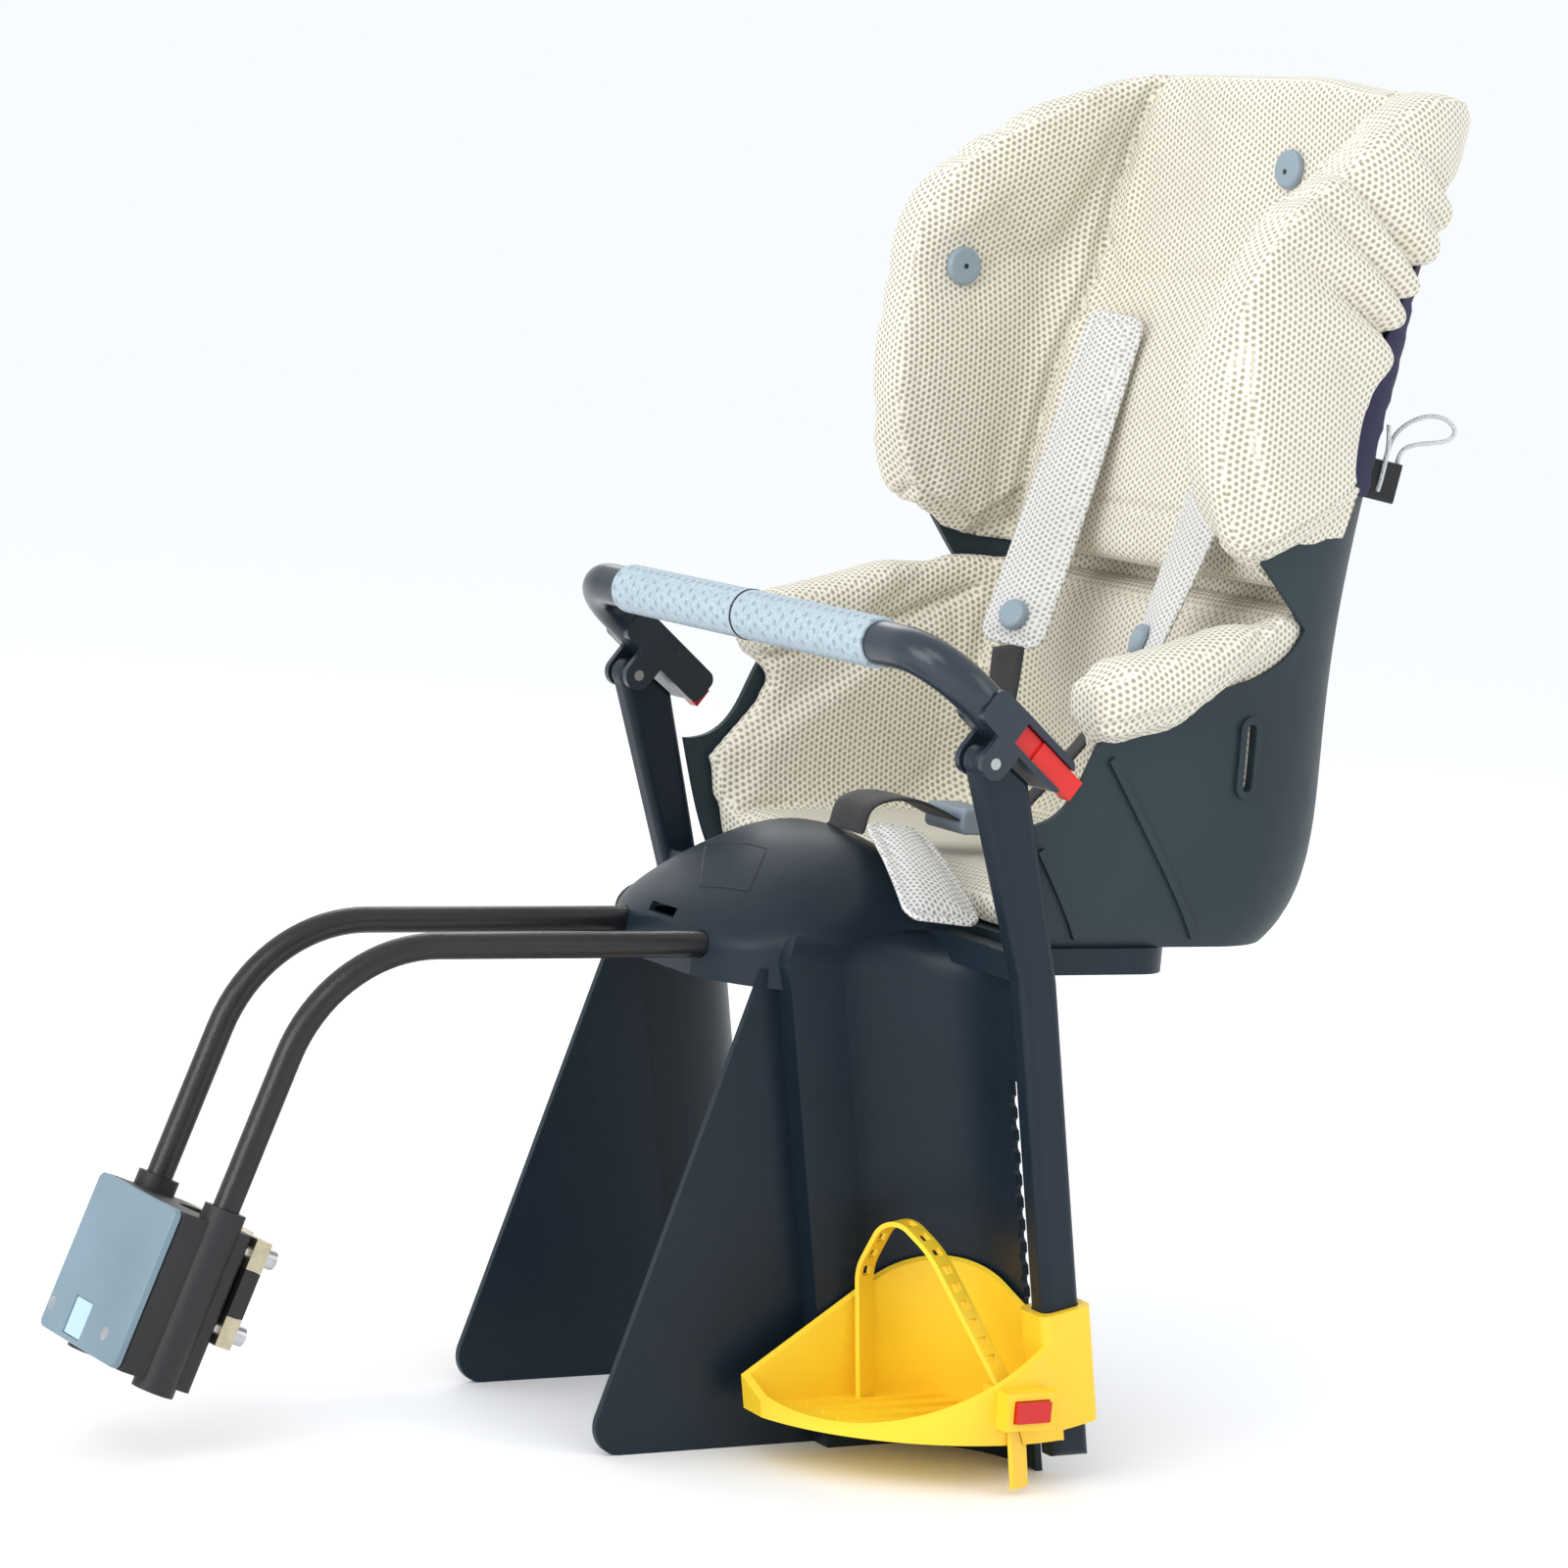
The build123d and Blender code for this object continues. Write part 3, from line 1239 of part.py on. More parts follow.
# Webbing from each shoulder pad down to the buckle's tongue
webbing_end = tongue_root - buckle_tongue_length - webbing_gap
pad_end = pad_start.offset(pad_run.length + webbing_gap)
for webbing_name, webbing_hand in (("right", 1), ("left", -1)):
    end_side = harness_side - webbing_hand * webbing_shift
    end_middle = Vector(webbing_end, webbing_hand * end_side, buckle_level)
    with BuildPart() as shoulder_webbing:
        with BuildSketch(pad_end):
            Rectangle(webbing_width, webbing_thickness)
        with BuildSketch(Plane(end_middle, x_dir=(0, 1, 0), z_dir=(1, 0, 0))):
            Rectangle(webbing_width / 2, webbing_thickness)
        loft()
        if webbing_hand < 0:
            mirrored = mirror(shoulder_webbing.part, about=Plane.XZ, mode=Mode.PRIVATE)
            add(mirrored, mode=Mode.REPLACE)
    save(shoulder_webbing, f"shoulder_webbing_{webbing_name}")

# Crotch pad, fallen to one side over the dome
crotch_run = Vector(*crotch_pad_foot) - Vector(*crotch_pad_top)
with BuildPart() as crotch_pad:
    with BuildSketch(Plane(crotch_pad_top, x_dir=(1, 0, 0), z_dir=crotch_run)):
        Rectangle(crotch_pad_width, crotch_pad_thickness)
        fillet(vertices(), shoulder_pad_edge)
    extrude(amount=crotch_run.length)
save(crotch_pad, "crotch_pad")


def button(seat, outward):
    """A round cushion button on a skin, with its face eased."""
    with BuildPart() as cap:
        with BuildSketch(Plane(seat + outward * button_stand, z_dir=outward)):
            Circle(button_diameter / 2)
        extrude(amount=button_height)
        rims = edges().filter_by(GeomType.CIRCLE).sort_by(Axis((0, 0, 0), outward))
        fillet(rims[-1], button_height / 2)
    return cap


# Cushion buttons: one on the far wing, one on the back
wing_start = (wing_button[0], 0, wing_button[1])
save(button(*skin_hits(back_cushion.part, wing_start, (0, -1, 0))[0]), "cushion_button_wing")
back_start = (shell_front, back_button[0], back_button[1])
save(button(*skin_hits(back_cushion.part, back_start, (-1, 0, 0))[0]), "cushion_button_back")

# Cord lock on the shell's rear corner
lock_flat = (-cos(radians(lock_turn)), sin(radians(lock_turn)), 0)
lock_seat, lock_out = skin_hits(seat_shell.part, (*lock_aim, lock_level), lock_flat)[-1]
lock_plane = Plane(
    lock_seat + lock_out * (lock_stand + lock_thickness / 2),
    x_dir=(-sin(radians(lock_turn)), -cos(radians(lock_turn)), 0),
    z_dir=lock_out,
)
with BuildPart() as cord_lock:
    with BuildSketch(lock_plane.offset(-lock_thickness / 2)):
        Rectangle(lock_width, lock_length)
        fillet(vertices(), lock_edge)
    extrude(amount=lock_thickness)
save(cord_lock, "cord_lock")

# Loop of drawcord, up out of the lock, round and back into it
cord_points = [
    lock_plane.from_local_coords(Vector(across, lock_length / 2 + cord_gap + up, out))
    for across, up, out in cord_route
]
cord_runs = [end - start for start, end in zip(cord_points, cord_points[1:])]
cord_bends = []
for before, after in zip(cord_runs, cord_runs[1:]):
    half_turn = radians(before.get_angle(after)) / 2
    cord_bends.append(cord_bend_share * min(before.length, after.length) / tan(half_turn))
print("cord bends", [round(bend, 1) for bend in cord_bends])
with BuildPart() as drawcord_loop:
    with BuildLine() as cord_path:
        FilletPolyline(*cord_points, radius=cord_bends)
    with BuildSketch(Plane(cord_path.line @ 0, z_dir=cord_path.line % 0)):
        Circle(cord_diameter / 2)
    sweep(path=cord_path.line)
print("cord length", round(cord_path.wires()[0].length, 1))
save(drawcord_loop, "drawcord_loop")
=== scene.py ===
import json
from math import cos, exp, pi, sin

import bmesh
import bpy
import numpy as np
from mathutils import Matrix, Vector
from mathutils.bvhtree import BVHTree


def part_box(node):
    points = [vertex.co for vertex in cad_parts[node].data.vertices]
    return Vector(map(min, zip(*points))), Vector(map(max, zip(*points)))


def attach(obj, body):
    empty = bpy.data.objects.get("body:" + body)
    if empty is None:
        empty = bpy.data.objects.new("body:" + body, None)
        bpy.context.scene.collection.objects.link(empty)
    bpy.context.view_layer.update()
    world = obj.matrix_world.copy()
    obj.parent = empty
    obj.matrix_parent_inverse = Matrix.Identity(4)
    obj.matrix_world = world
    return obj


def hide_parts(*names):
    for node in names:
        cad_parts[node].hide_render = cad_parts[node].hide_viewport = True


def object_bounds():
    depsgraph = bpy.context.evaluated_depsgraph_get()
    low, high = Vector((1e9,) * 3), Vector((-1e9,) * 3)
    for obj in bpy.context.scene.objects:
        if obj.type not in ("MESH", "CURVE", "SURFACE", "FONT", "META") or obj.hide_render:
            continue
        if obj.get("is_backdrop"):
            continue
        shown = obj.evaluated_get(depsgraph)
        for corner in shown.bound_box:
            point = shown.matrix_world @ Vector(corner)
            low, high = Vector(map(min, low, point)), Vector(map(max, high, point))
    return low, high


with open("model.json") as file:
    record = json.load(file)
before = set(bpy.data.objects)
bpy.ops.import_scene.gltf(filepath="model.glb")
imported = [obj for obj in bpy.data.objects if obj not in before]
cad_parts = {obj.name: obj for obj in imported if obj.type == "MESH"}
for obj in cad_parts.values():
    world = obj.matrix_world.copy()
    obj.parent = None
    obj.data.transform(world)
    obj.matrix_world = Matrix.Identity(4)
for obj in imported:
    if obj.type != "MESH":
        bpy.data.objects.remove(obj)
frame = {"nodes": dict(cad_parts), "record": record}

# Child bike seat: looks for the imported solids. Sizes are in metres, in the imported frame.
MM = 0.001
NODES = frame["nodes"]
CAD_LOW, CAD_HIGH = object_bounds()


def linear(red, green, blue):
    """A colour given as 0 to 255 display values, as the shader wants it."""
    def channel(value):
        share = value / 255
        return share / 12.92 if share <= 0.04045 else ((share + 0.055) / 1.055) ** 2.4

    return (channel(red), channel(green), channel(blue), 1.0)


class Shader:
    """One material's nodes, with short calls for the kinds that the finishes need."""

    def __init__(self, name, **constants):
        self.material = bpy.data.materials.new(name)
        self.material.use_nodes = True
        self.tree = self.material.node_tree
        self.surface = self.tree.nodes["Principled BSDF"]
        self.place = self.node("TexCoord").outputs["Object"]
        for socket, value in constants.items():
            self.surface.inputs[socket.replace("_", " ")].default_value = value

    def feed(self, socket, value):
        if isinstance(value, bpy.types.NodeSocket):
            self.tree.links.new(value, socket)
        else:
            socket.default_value = value

    def node(self, kind, inputs=(), **settings):
        made = self.tree.nodes.new("ShaderNode" + kind)
        for key, value in settings.items():
            setattr(made, key, value)
        for key, value in dict(inputs).items():
            self.feed(made.inputs[key], value)
        return made

    def math(self, operation, first, second=0.0):
        return self.node("Math", {0: first, 1: second}, operation=operation).outputs[0]

    def noise(self, scale, detail):
        inputs = {"Vector": self.place, "Scale": scale, "Detail": detail}
        return self.node("TexNoise", inputs).outputs[0]

    def ramp(self, value, low, high, first, last):
        """A value from low to high, spread between two colours."""
        made = self.node("ValToRGB", {0: value})
        stops = made.color_ramp.elements
        stops[0].position, stops[1].position = low, high
        stops[0].color, stops[1].color = first, last
        return made.outputs[0]

    def spread(self, value, low, high, first=0.0, last=1.0):
        """A value that runs from first to last, spread between two numbers."""
        inputs = {"Value": value, "From Min": first, "From Max": last, "To Min": low, "To Max": high}
        return self.node("MapRange", inputs).outputs[0]

    def mask(self, value, low, high):
        """A value from low to high, as black to white."""
        return self.ramp(value, low, high, (0, 0, 0, 1), (1, 1, 1, 1))

    def mix(self, share, first, second):
        """A blend of two colours. Only their numbers tell the node's colour sockets from its others."""
        made = self.node("Mix", {0: share, 6: first, 7: second}, data_type="RGBA")
        return made.outputs[2]

    def colour(self, value):
        self.feed(self.surface.inputs["Base Color"], value)

    def rough(self, value):
        self.feed(self.surface.inputs["Roughness"], value)

    def bump(self, *layers):
        """Surface relief from layers of height and depth in metres, one on another."""
        normal = None
        for height, depth in layers:
            inputs = {"Height": height, "Distance": depth, "Strength": 1.0}
            made = self.node("Bump", inputs)
            if normal:
                self.tree.links.new(normal, made.inputs["Normal"])
            normal = made.outputs["Normal"]
        self.tree.links.new(normal, self.surface.inputs["Normal"])


def shade(tint, share):
    """A colour made lighter or darker by a share."""
    return tuple(min(1.0, value * share) for value in tint[:3]) + (1.0,)


# Finishes
def moulded(name, tint, gloss, grain=0.00012, grain_scale=900.0, **constants):
    """Moulded plastic: faint flow shades, a fine spark-eroded grain and uneven gloss."""
    made = Shader(name, **constants)
    flow = made.noise(9.0, 3.0)
    made.colour(made.ramp(flow, 0.3, 0.7, shade(tint, 0.88), shade(tint, 1.12)))
    made.rough(made.spread(made.noise(45.0, 4.0), gloss - 0.06, gloss + 0.08))
    made.bump((made.noise(grain_scale, 3.0), grain), (made.noise(28.0, 2.0), 0.00022))
    return made.material


def metal(name, tint, gloss, scratch=0.00004):
    """Plated metal with fine turning marks and a little tarnish."""
    made = Shader(name, Metallic=1.0)
    made.colour(made.ramp(made.noise(160.0, 5.0), 0.3, 0.75, shade(tint, 0.72), tint))
    made.rough(made.spread(made.noise(420.0, 4.0), gloss - 0.08, gloss + 0.14))
    made.bump((made.noise(2200.0, 2.0), scratch))
    return made.material


def coated(name, tint, gloss):
    """Powder coat on steel, with its orange-peel ripple."""
    made = Shader(name)
    made.colour(made.ramp(made.noise(60.0, 3.0), 0.3, 0.7, shade(tint, 0.8), shade(tint, 1.25)))
    made.rough(made.spread(made.noise(300.0, 2.0), gloss - 0.05, gloss + 0.07))
    made.bump((made.noise(700.0, 1.0), 0.00018))
    return made.material


HEX_HEIGHT = 0.866
AXIS_SHARPNESS = 8.0
NET_WAVES, HOLE_WAVES = -1.2, 2.4


def honeycomb(made, pitch):
    """A honeycomb of knitted holes, laid on the surface along its three axes: 1 in a hole, 0 on the net."""
    scaled = made.node("VectorMath", {0: made.place, 3: 2 * pi / pitch}, operation="SCALE").outputs[0]
    axes = made.node("SeparateXYZ", {0: scaled}).outputs
    facing = made.node("SeparateXYZ", {0: made.node("NewGeometry").outputs["Normal"]}).outputs
    total, weights = None, None
    for across, along, normal in ((0, 1, 2), (1, 2, 0), (0, 2, 1)):
        half = made.math("MULTIPLY", axes[across], 0.5)
        tall = made.math("MULTIPLY", axes[along], HEX_HEIGHT)
        waves = made.math("COSINE", axes[across])
        for side in ("ADD", "SUBTRACT"):
            slant = made.math("COSINE", made.math(side, half, tall))
            waves = made.math("ADD", waves, slant)
        weight = made.math("POWER", made.math("ABSOLUTE", facing[normal]), AXIS_SHARPNESS)
        share = made.math("MULTIPLY", waves, weight)
        total = share if total is None else made.math("ADD", total, share)
        weights = weight if weights is None else made.math("ADD", weights, weight)
    mean = made.math("DIVIDE", total, weights)
    return made.spread(mean, 0.0, 1.0, NET_WAVES, HOLE_WAVES)


def mesh_fabric(name, tint, hole_shade_tint, pitch, depth, sheen=0.3):
    """Spacer mesh: a light net with round holes tinted darker as painted shade, and slight shades from
    handling.
    """
    made = Shader(name, Sheen_Weight=sheen, Sheen_Roughness=0.5, Roughness=0.85)
    holes = honeycomb(made, pitch)
    worn = made.ramp(made.noise(14.0, 4.0), 0.25, 0.75, shade(tint, 0.93), shade(tint, 1.05))
    # The holes take the darker hole colour: painted shade inside the holes.
    made.colour(made.mix(made.mask(holes, 0.3, 0.85), worn, hole_shade_tint))
    relief = made.math("SUBTRACT", 1.0, holes)
    made.bump((relief, depth), (made.noise(2600.0, 2.0), 0.0001))
    return made.material


def woven(name, tint, pitch, gloss):
    """Close woven yarns, with a little fuzz."""
    made = Shader(name, Sheen_Weight=0.15)
    yarns = honeycomb(made, pitch)
    made.colour(made.ramp(yarns, 0.2, 0.8, shade(tint, 1.35), shade(tint, 0.6)))
    made.rough(made.spread(made.noise(80.0, 3.0), gloss - 0.06, gloss + 0.08))
    made.bump((made.math("SUBTRACT", 1.0, yarns), 0.0004), (made.noise(900.0, 3.0), 0.00015))
    return made.material


FOAM_DOT_PITCH = 6.5 * MM


def foamed(name, tint, spot_tint):
    """Closed-cell foam sleeve with small pressed dots and a speckle."""
    made = Shader(name, Roughness=0.78)
    dots = made.mask(honeycomb(made, FOAM_DOT_PITCH), 0.8, 0.93)
    speckle = made.noise(520.0, 4.0)
    base = made.ramp(speckle, 0.32, 0.72, shade(tint, 0.84), shade(tint, 1.14))
    made.colour(made.mix(dots, base, spot_tint))
    made.bump((dots, -0.0005), (speckle, 0.0003), (made.noise(1500.0, 2.0), 0.0002))
    return made.material


# The darker hole colours are painted shade inside the mesh's holes.
CREAM = linear(236, 231, 215)
CREAM_HOLE_SHADE = linear(166, 158, 135)
PALE = linear(226, 225, 222)
PALE_HOLE_SHADE = linear(160, 159, 155)
SLATE = linear(38, 52, 58)
INK = linear(23, 35, 46)
BLACK = linear(22, 23, 26)
STEEL_BLUE = linear(138, 154, 166)
YELLOW = linear(255, 209, 46)
RED = linear(206, 28, 24)
NAVY = linear(33, 30, 68)
SATIN = {"Specular_IOR_Level": 0.25}

FINISH = {
    "mount_plastic": moulded("mount_plastic", BLACK, 0.5),
    "cover_plastic": moulded("cover_plastic", linear(113, 135, 148), 0.42),
    "button_plastic": moulded("button_plastic", linear(176, 205, 226), 0.3),
    "zinc": metal("zinc", linear(205, 196, 168), 0.36),
    "screw_steel": metal("screw_steel", linear(200, 201, 203), 0.3),
    "rod_paint": coated("rod_paint", linear(17, 18, 20), 0.32),
    "shell_plastic": moulded("shell_plastic", SLATE, 0.46, 0.00016, 1100.0, **SATIN),
    "guard_plastic": moulded("guard_plastic", INK, 0.36, 0.00014, 1000.0, **SATIN),
    "bumper_plastic": moulded("bumper_plastic", linear(33, 43, 54), 0.24, 0.00005),
    "foam": foamed("foam", linear(172, 188, 197), linear(146, 163, 175)),
    "tongue_red": moulded("tongue_red", RED, 0.3, 0.00005),
    "footrest_yellow": moulded("footrest_yellow", YELLOW, 0.4, 0.00008),
    "strap_rubber": moulded("strap_rubber", shade(YELLOW, 0.97), 0.42, 0.00006),
    # Each mesh's second colour, and the elastic's darker navy, is painted shade inside its holes.
    "mesh_fabric": mesh_fabric("mesh_fabric", CREAM, CREAM_HOLE_SHADE, 0.0033, 0.0009),
    "strap_fabric": mesh_fabric("strap_fabric", PALE, PALE_HOLE_SHADE, 0.0028, 0.0007),
    "elastic_navy": mesh_fabric("elastic_navy", NAVY, shade(NAVY, 0.6), 0.0014, 0.0002, 0.0),
    "webbing": woven("webbing", BLACK, 0.0015, 0.6),
    "buckle_grey": moulded("buckle_grey", linear(128, 142, 156), 0.4),
    "snap_grey": moulded("snap_grey", STEEL_BLUE, 0.28, 0.00004),
    "lock_black": moulded("lock_black", BLACK, 0.4),
    "cord_grey": woven("cord_grey", linear(206, 210, 214), 0.0011, 0.7),
}

for subpart in frame["record"]["subparts"]:
    node = NODES[subpart["node"]]
    node.data.materials.clear()
    node.data.materials.append(FINISH[subpart["material_slot"]])


# Building blocks
def new_piece(name, mesh, slot, body):
    """A new object from a mesh, with its finish, riding on a body."""
    piece = bpy.data.objects.new(name, mesh)
    bpy.context.scene.collection.objects.link(piece)
    mesh.materials.clear()
    mesh.materials.append(FINISH[slot])
    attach(piece, body)
    return piece


def settle(piece):
    """Replace a piece's mesh by what its modifiers make of it."""
    graph = bpy.context.evaluated_depsgraph_get()
    mesh = bpy.data.meshes.new_from_object(piece.evaluated_get(graph))
    piece.modifiers.clear()
    piece.data = mesh
    mesh.polygons.foreach_set("use_smooth", [True] * len(mesh.polygons))


def points_of(piece):
    spots = np.zeros(len(piece.data.vertices) * 3)
    piece.data.vertices.foreach_get("co", spots)
    return spots.reshape(-1, 3)


def normals_of(piece):
    ways = np.zeros(len(piece.data.vertices) * 3)
    piece.data.vertices.foreach_get("normal", ways)
    return ways.reshape(-1, 3)


def put_points(piece, spots):
    piece.data.vertices.foreach_set("co", spots.ravel())
    piece.data.update()


def line_distance(spots, line):
    """Distance from each spot to a line of points, and how far along the line its nearest place is."""
    best = np.full(len(spots), np.inf)
    along = np.zeros(len(spots))
    walked = 0.0
    for start, end in zip(line, line[1:]):
        start, end = np.array(start), np.array(end)
        run = end - start
        length = np.linalg.norm(run)
        share = np.clip((spots - start) @ run / length**2, 0, 1)
        gap = np.linalg.norm(spots - start - share[:, None] * run, axis=1)
        nearer = gap < best
        best[nearer] = gap[nearer]
        along[nearer] = walked + share[nearer] * length
        walked += length
    return best, along


def smooth_line(line, count):
    """Points along a smooth line through a few chosen ones."""
    line = np.array(line, float)
    steps = np.linspace(0, len(line) - 1, count)
    made = []
    for step in steps:
        index = min(int(step), len(line) - 2)
        share = step - index
        before = line[max(index - 1, 0)]
        start, end = line[index], line[index + 1]
        after = line[min(index + 2, len(line) - 1)]
        made.append(
            0.5
            * (
                2 * start
                + (end - before) * share
                + (2 * before - 5 * start + 4 * end - after) * share**2
                + (3 * start - before - 3 * end + after) * share**3
            )
        )
    return np.array(made)


def join_rings(skin, rings, capped=True):
    """Faces between rings of a skin's points, with an end face on the first and the last."""
    count = len(rings[0])
    for first, second in zip(rings, rings[1:]):
        for index in range(count):
            after = (index + 1) % count
            skin.faces.new((first[index], first[after], second[after], second[index]))
    if capped:
        skin.faces.new(list(reversed(rings[0])))
        skin.faces.new(rings[-1])


def skin_piece(name, skin, slot, body):
    """A new smooth piece from a finished skin."""
    mesh = bpy.data.meshes.new(name)
    skin.to_mesh(mesh)
    skin.free()
    mesh.polygons.foreach_set("use_smooth", [True] * len(mesh.polygons))
    return new_piece(name, mesh, slot, body)


SAME_POINT = 0.01 * MM


def loft_rows(name, rows, slot, body, capped=True):
    """A closed skin through rings of points."""
    skin = bmesh.new()
    rings = [[skin.verts.new(Vector(point)) for point in row] for row in rows]
    join_rings(skin, rings, capped)
    bmesh.ops.remove_doubles(skin, verts=skin.verts, dist=SAME_POINT)
    bmesh.ops.recalc_face_normals(skin, faces=skin.faces)
    return skin_piece(name, skin, slot, body)


def ring_about(middle, right, up, radius, count):
    """Points of a circle about a middle."""
    turns = [2 * pi * index / count for index in range(count)]
    return [middle + right * radius * cos(turn) + up * radius * sin(turn) for turn in turns]


BEAD_SIDES = 8


def bead(name, line, outs, radius, slot, body):
    """A thin round bead along a line of points."""
    rows = []
    for index, (point, out) in enumerate(zip(line, outs)):
        before, after = line[max(index - 1, 0)], line[min(index + 1, len(line) - 1)]
        run = (after - before).normalized()
        rows.append(ring_about(point, run.cross(out).normalized(), out, radius, BEAD_SIDES))
    loft_rows(name, rows, slot, body)


# A stitch's rings, each with its place along the stitch and its radius in millimetres
STITCH_RINGS = ((-0.5, 0.15), (-0.3, 0.4), (0.3, 0.4), (0.5, 0.15))
STITCH_SIDES = 6


def stitches(name, line, outs, length, space, slot, body):
    """Separate raised stitches along a line of points."""
    skin = bmesh.new()
    walked, due = 0.0, 0.0
    for start, end, out in zip(line, line[1:], outs):
        step = (end - start).length
        run = (end - start).normalized()
        side = run.cross(out).normalized()
        while due <= walked + step:
            spot = start.lerp(end, (due - walked) / max(step, 1e-9))
            rings = []
            for place, radius in STITCH_RINGS:
                ring = ring_about(spot + run * length * place, side, out, radius * MM, STITCH_SIDES)
                rings.append([skin.verts.new(point) for point in ring])
            join_rings(skin, rings)
            due += length + space
        walked += step
    bmesh.ops.recalc_face_normals(skin, faces=skin.faces)
    skin_piece(name, skin, slot, body)


def eased(values, low, high):
    """0 below low, 1 above high and a smooth rise between."""
    share = np.clip((values - low) / (high - low), 0, 1)
    return share * share * (3 - 2 * share)


def hill(gaps, width):
    """1 where there is no gap, falling off smoothly over a width."""
    return np.exp(-((gaps / width) ** 2))


# Padded covers, from the plain solids that hold their place
shell_skin = BVHTree.FromObject(NODES["seat_shell"], bpy.context.evaluated_depsgraph_get())
CELL = 5.5 * MM
STILL = 0.8 * MM
CLOTH_FRAMES = 20


def hold(gaps, most, fall):
    """How firmly cloth is held, from 0 to 1: a share at no gap, and one less for each fall of distance."""
    return np.clip(most - gaps / fall, 0, 1)


def inflate(piece, held, pressure):
    """Blow a piece up by cloth simulation, with its spots held by their weights."""
    group = piece.vertex_groups.new(name="held")
    for index, weight in enumerate(held):
        if weight > 0:
            group.add([index], float(weight), "REPLACE")
    cloth = piece.modifiers.new("cloth", "CLOTH")
    cloth.settings.use_pressure = True
    cloth.settings.uniform_pressure_force = pressure
    cloth.settings.vertex_group_mass = group.name
    cloth.settings.effector_weights.gravity = 0
    cloth.settings.quality = 4
    for step in range(1, CLOTH_FRAMES + 1):
        bpy.context.scene.frame_set(step)
    settle(piece)
    piece.vertex_groups.clear()
    bpy.context.scene.frame_set(1)


def puffed(name, node, seams, pressure, room):
    """A padded copy of a soft solid: remeshed, then blown up between its seams and off the shell."""
    piece = new_piece(name, NODES[node].data.copy(), "mesh_fabric", "carrier")
    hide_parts(node)
    cells = piece.modifiers.new("cells", "REMESH")
    cells.mode = "VOXEL"
    cells.voxel_size = CELL
    soft = piece.modifiers.new("soft", "SMOOTH")
    soft.factor = 0.5
    soft.iterations = 5
    settle(piece)
    spots = points_of(piece)
    caps = room(spots)
    against = np.array([shell_skin.find_nearest(Vector(spot))[3] for spot in spots])
    held = hold(against, most=1.6, fall=2.5 * MM)
    for seam in seams:
        gap, _ = line_distance(spots, seam)
        held = np.maximum(held, hold(gap, most=1.5, fall=4 * MM))
    held = np.maximum(held, caps < STILL)
    inflate(piece, held, pressure)
    moves = points_of(piece) - spots
    lengths = np.linalg.norm(moves, axis=1)
    share = np.minimum(1, caps / np.maximum(lengths, 1e-9))
    put_points(piece, spots + moves * share[:, None])
    return piece


def rounded(piece):
    """One subdivision of a finished cover."""
    finer = piece.modifiers.new("finer", "SUBSURF")
    finer.levels = finer.render_levels = 1
    settle(piece)
    piece.data.materials.clear()
    piece.data.materials.append(FINISH["mesh_fabric"])


def sewn(piece, seams, depth, width):
    """Pull a finished cover in along its seams."""
    spots = points_of(piece)
    pull = np.zeros(len(spots))
    for seam in seams:
        gap, _ = line_distance(spots, seam)
        pull = np.maximum(pull, depth * hill(gap, width))
    put_points(piece, spots - normals_of(piece) * pull[:, None])


SEAM_STEPS = 60


def laid(node, line):
    """A smooth line through a few places, laid on a node's skin."""
    skin = BVHTree.FromObject(NODES[node], bpy.context.evaluated_depsgraph_get())
    return np.array([skin.find_nearest(Vector(point))[0] for point in smooth_line(line, SEAM_STEPS)])


def middle_of(node):
    low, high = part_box(node)
    return np.array((low + high) / 2)


def far_from(spots, place):
    """Each spot's distance from a place."""
    return np.linalg.norm(spots - place, axis=1)


def aside(spots):
    """Each spot's distance from the middle plane."""
    return np.abs(spots[:, 1])


def side_distance(spots, line):
    """As line_distance, seen from the side: the line's points are x and z."""
    return line_distance(spots[:, [0, 2]], line)


def facing_aside(ways, spots):
    """How far each spot faces away from the middle plane, from -1 to 1."""
    return ways[:, 1] * np.sign(spots[:, 1])


# Back cushion: seams where the wings meet the back, dimples at the buttons, pleats along the rear hem
PAD_TOP = np.array((-0.579, -0.072, 0.530))
PAD_FOOT = np.array((-0.517, -0.062, 0.338))
BACK_SEAM = [(-0.560, 0.133, 0.392), (-0.581, 0.127, 0.510), (-0.611, 0.110, 0.640), (-0.628, 0.100, 0.664)]
MIRROR = np.array((1, -1, 1))
BUTTONS = ("cushion_button_wing", "cushion_button_back")
back_seams = [laid("back_cushion", np.array(BACK_SEAM) * flip) for flip in (1, MIRROR)]

# Lines along the wings, seen from the side
GATHER = smooth_line([(-0.640, 0.616), (-0.592, 0.535), (-0.575, 0.470), (-0.581, 0.424)], 40)
WING_FRONT = smooth_line([(-0.489, 0.411), (-0.472, 0.450), (-0.462, 0.513), (-0.474, 0.560)], 30)
WING_EDGE = smooth_line([(-0.489, 0.411), (-0.462, 0.513), (-0.507, 0.601), (-0.571, 0.642)], 30)

# Where a shape starts and where it is full, from the middle plane out to the wings
ROOF_ASIDE = (0.030, 0.090)
SWELL_ASIDE = (0.100, 0.135)
EDGE_ASIDE = (0.105, 0.130)
PLEAT_ASIDE = (0.115, 0.135)
THIN_ASIDE = (0.120, 0.145)
HEM_ASIDE = (0.148, 0.164)

# The same by height, and by distance from an edge, a button or a pad
ROOF_HEIGHT = (0.52, 0.57)
LIFT_HEIGHT = (0.50, 0.60)
EDGE_HEIGHT = (0.53, 0.60)
FRONT_GAP = (10 * MM, 40 * MM)
EDGE_GAP = (4 * MM, 34 * MM)
DIMPLE_GAP = (14 * MM, 44 * MM)
LIFT_GAP = (16 * MM, 44 * MM)
PAD_GAP = (32 * MM, 60 * MM)

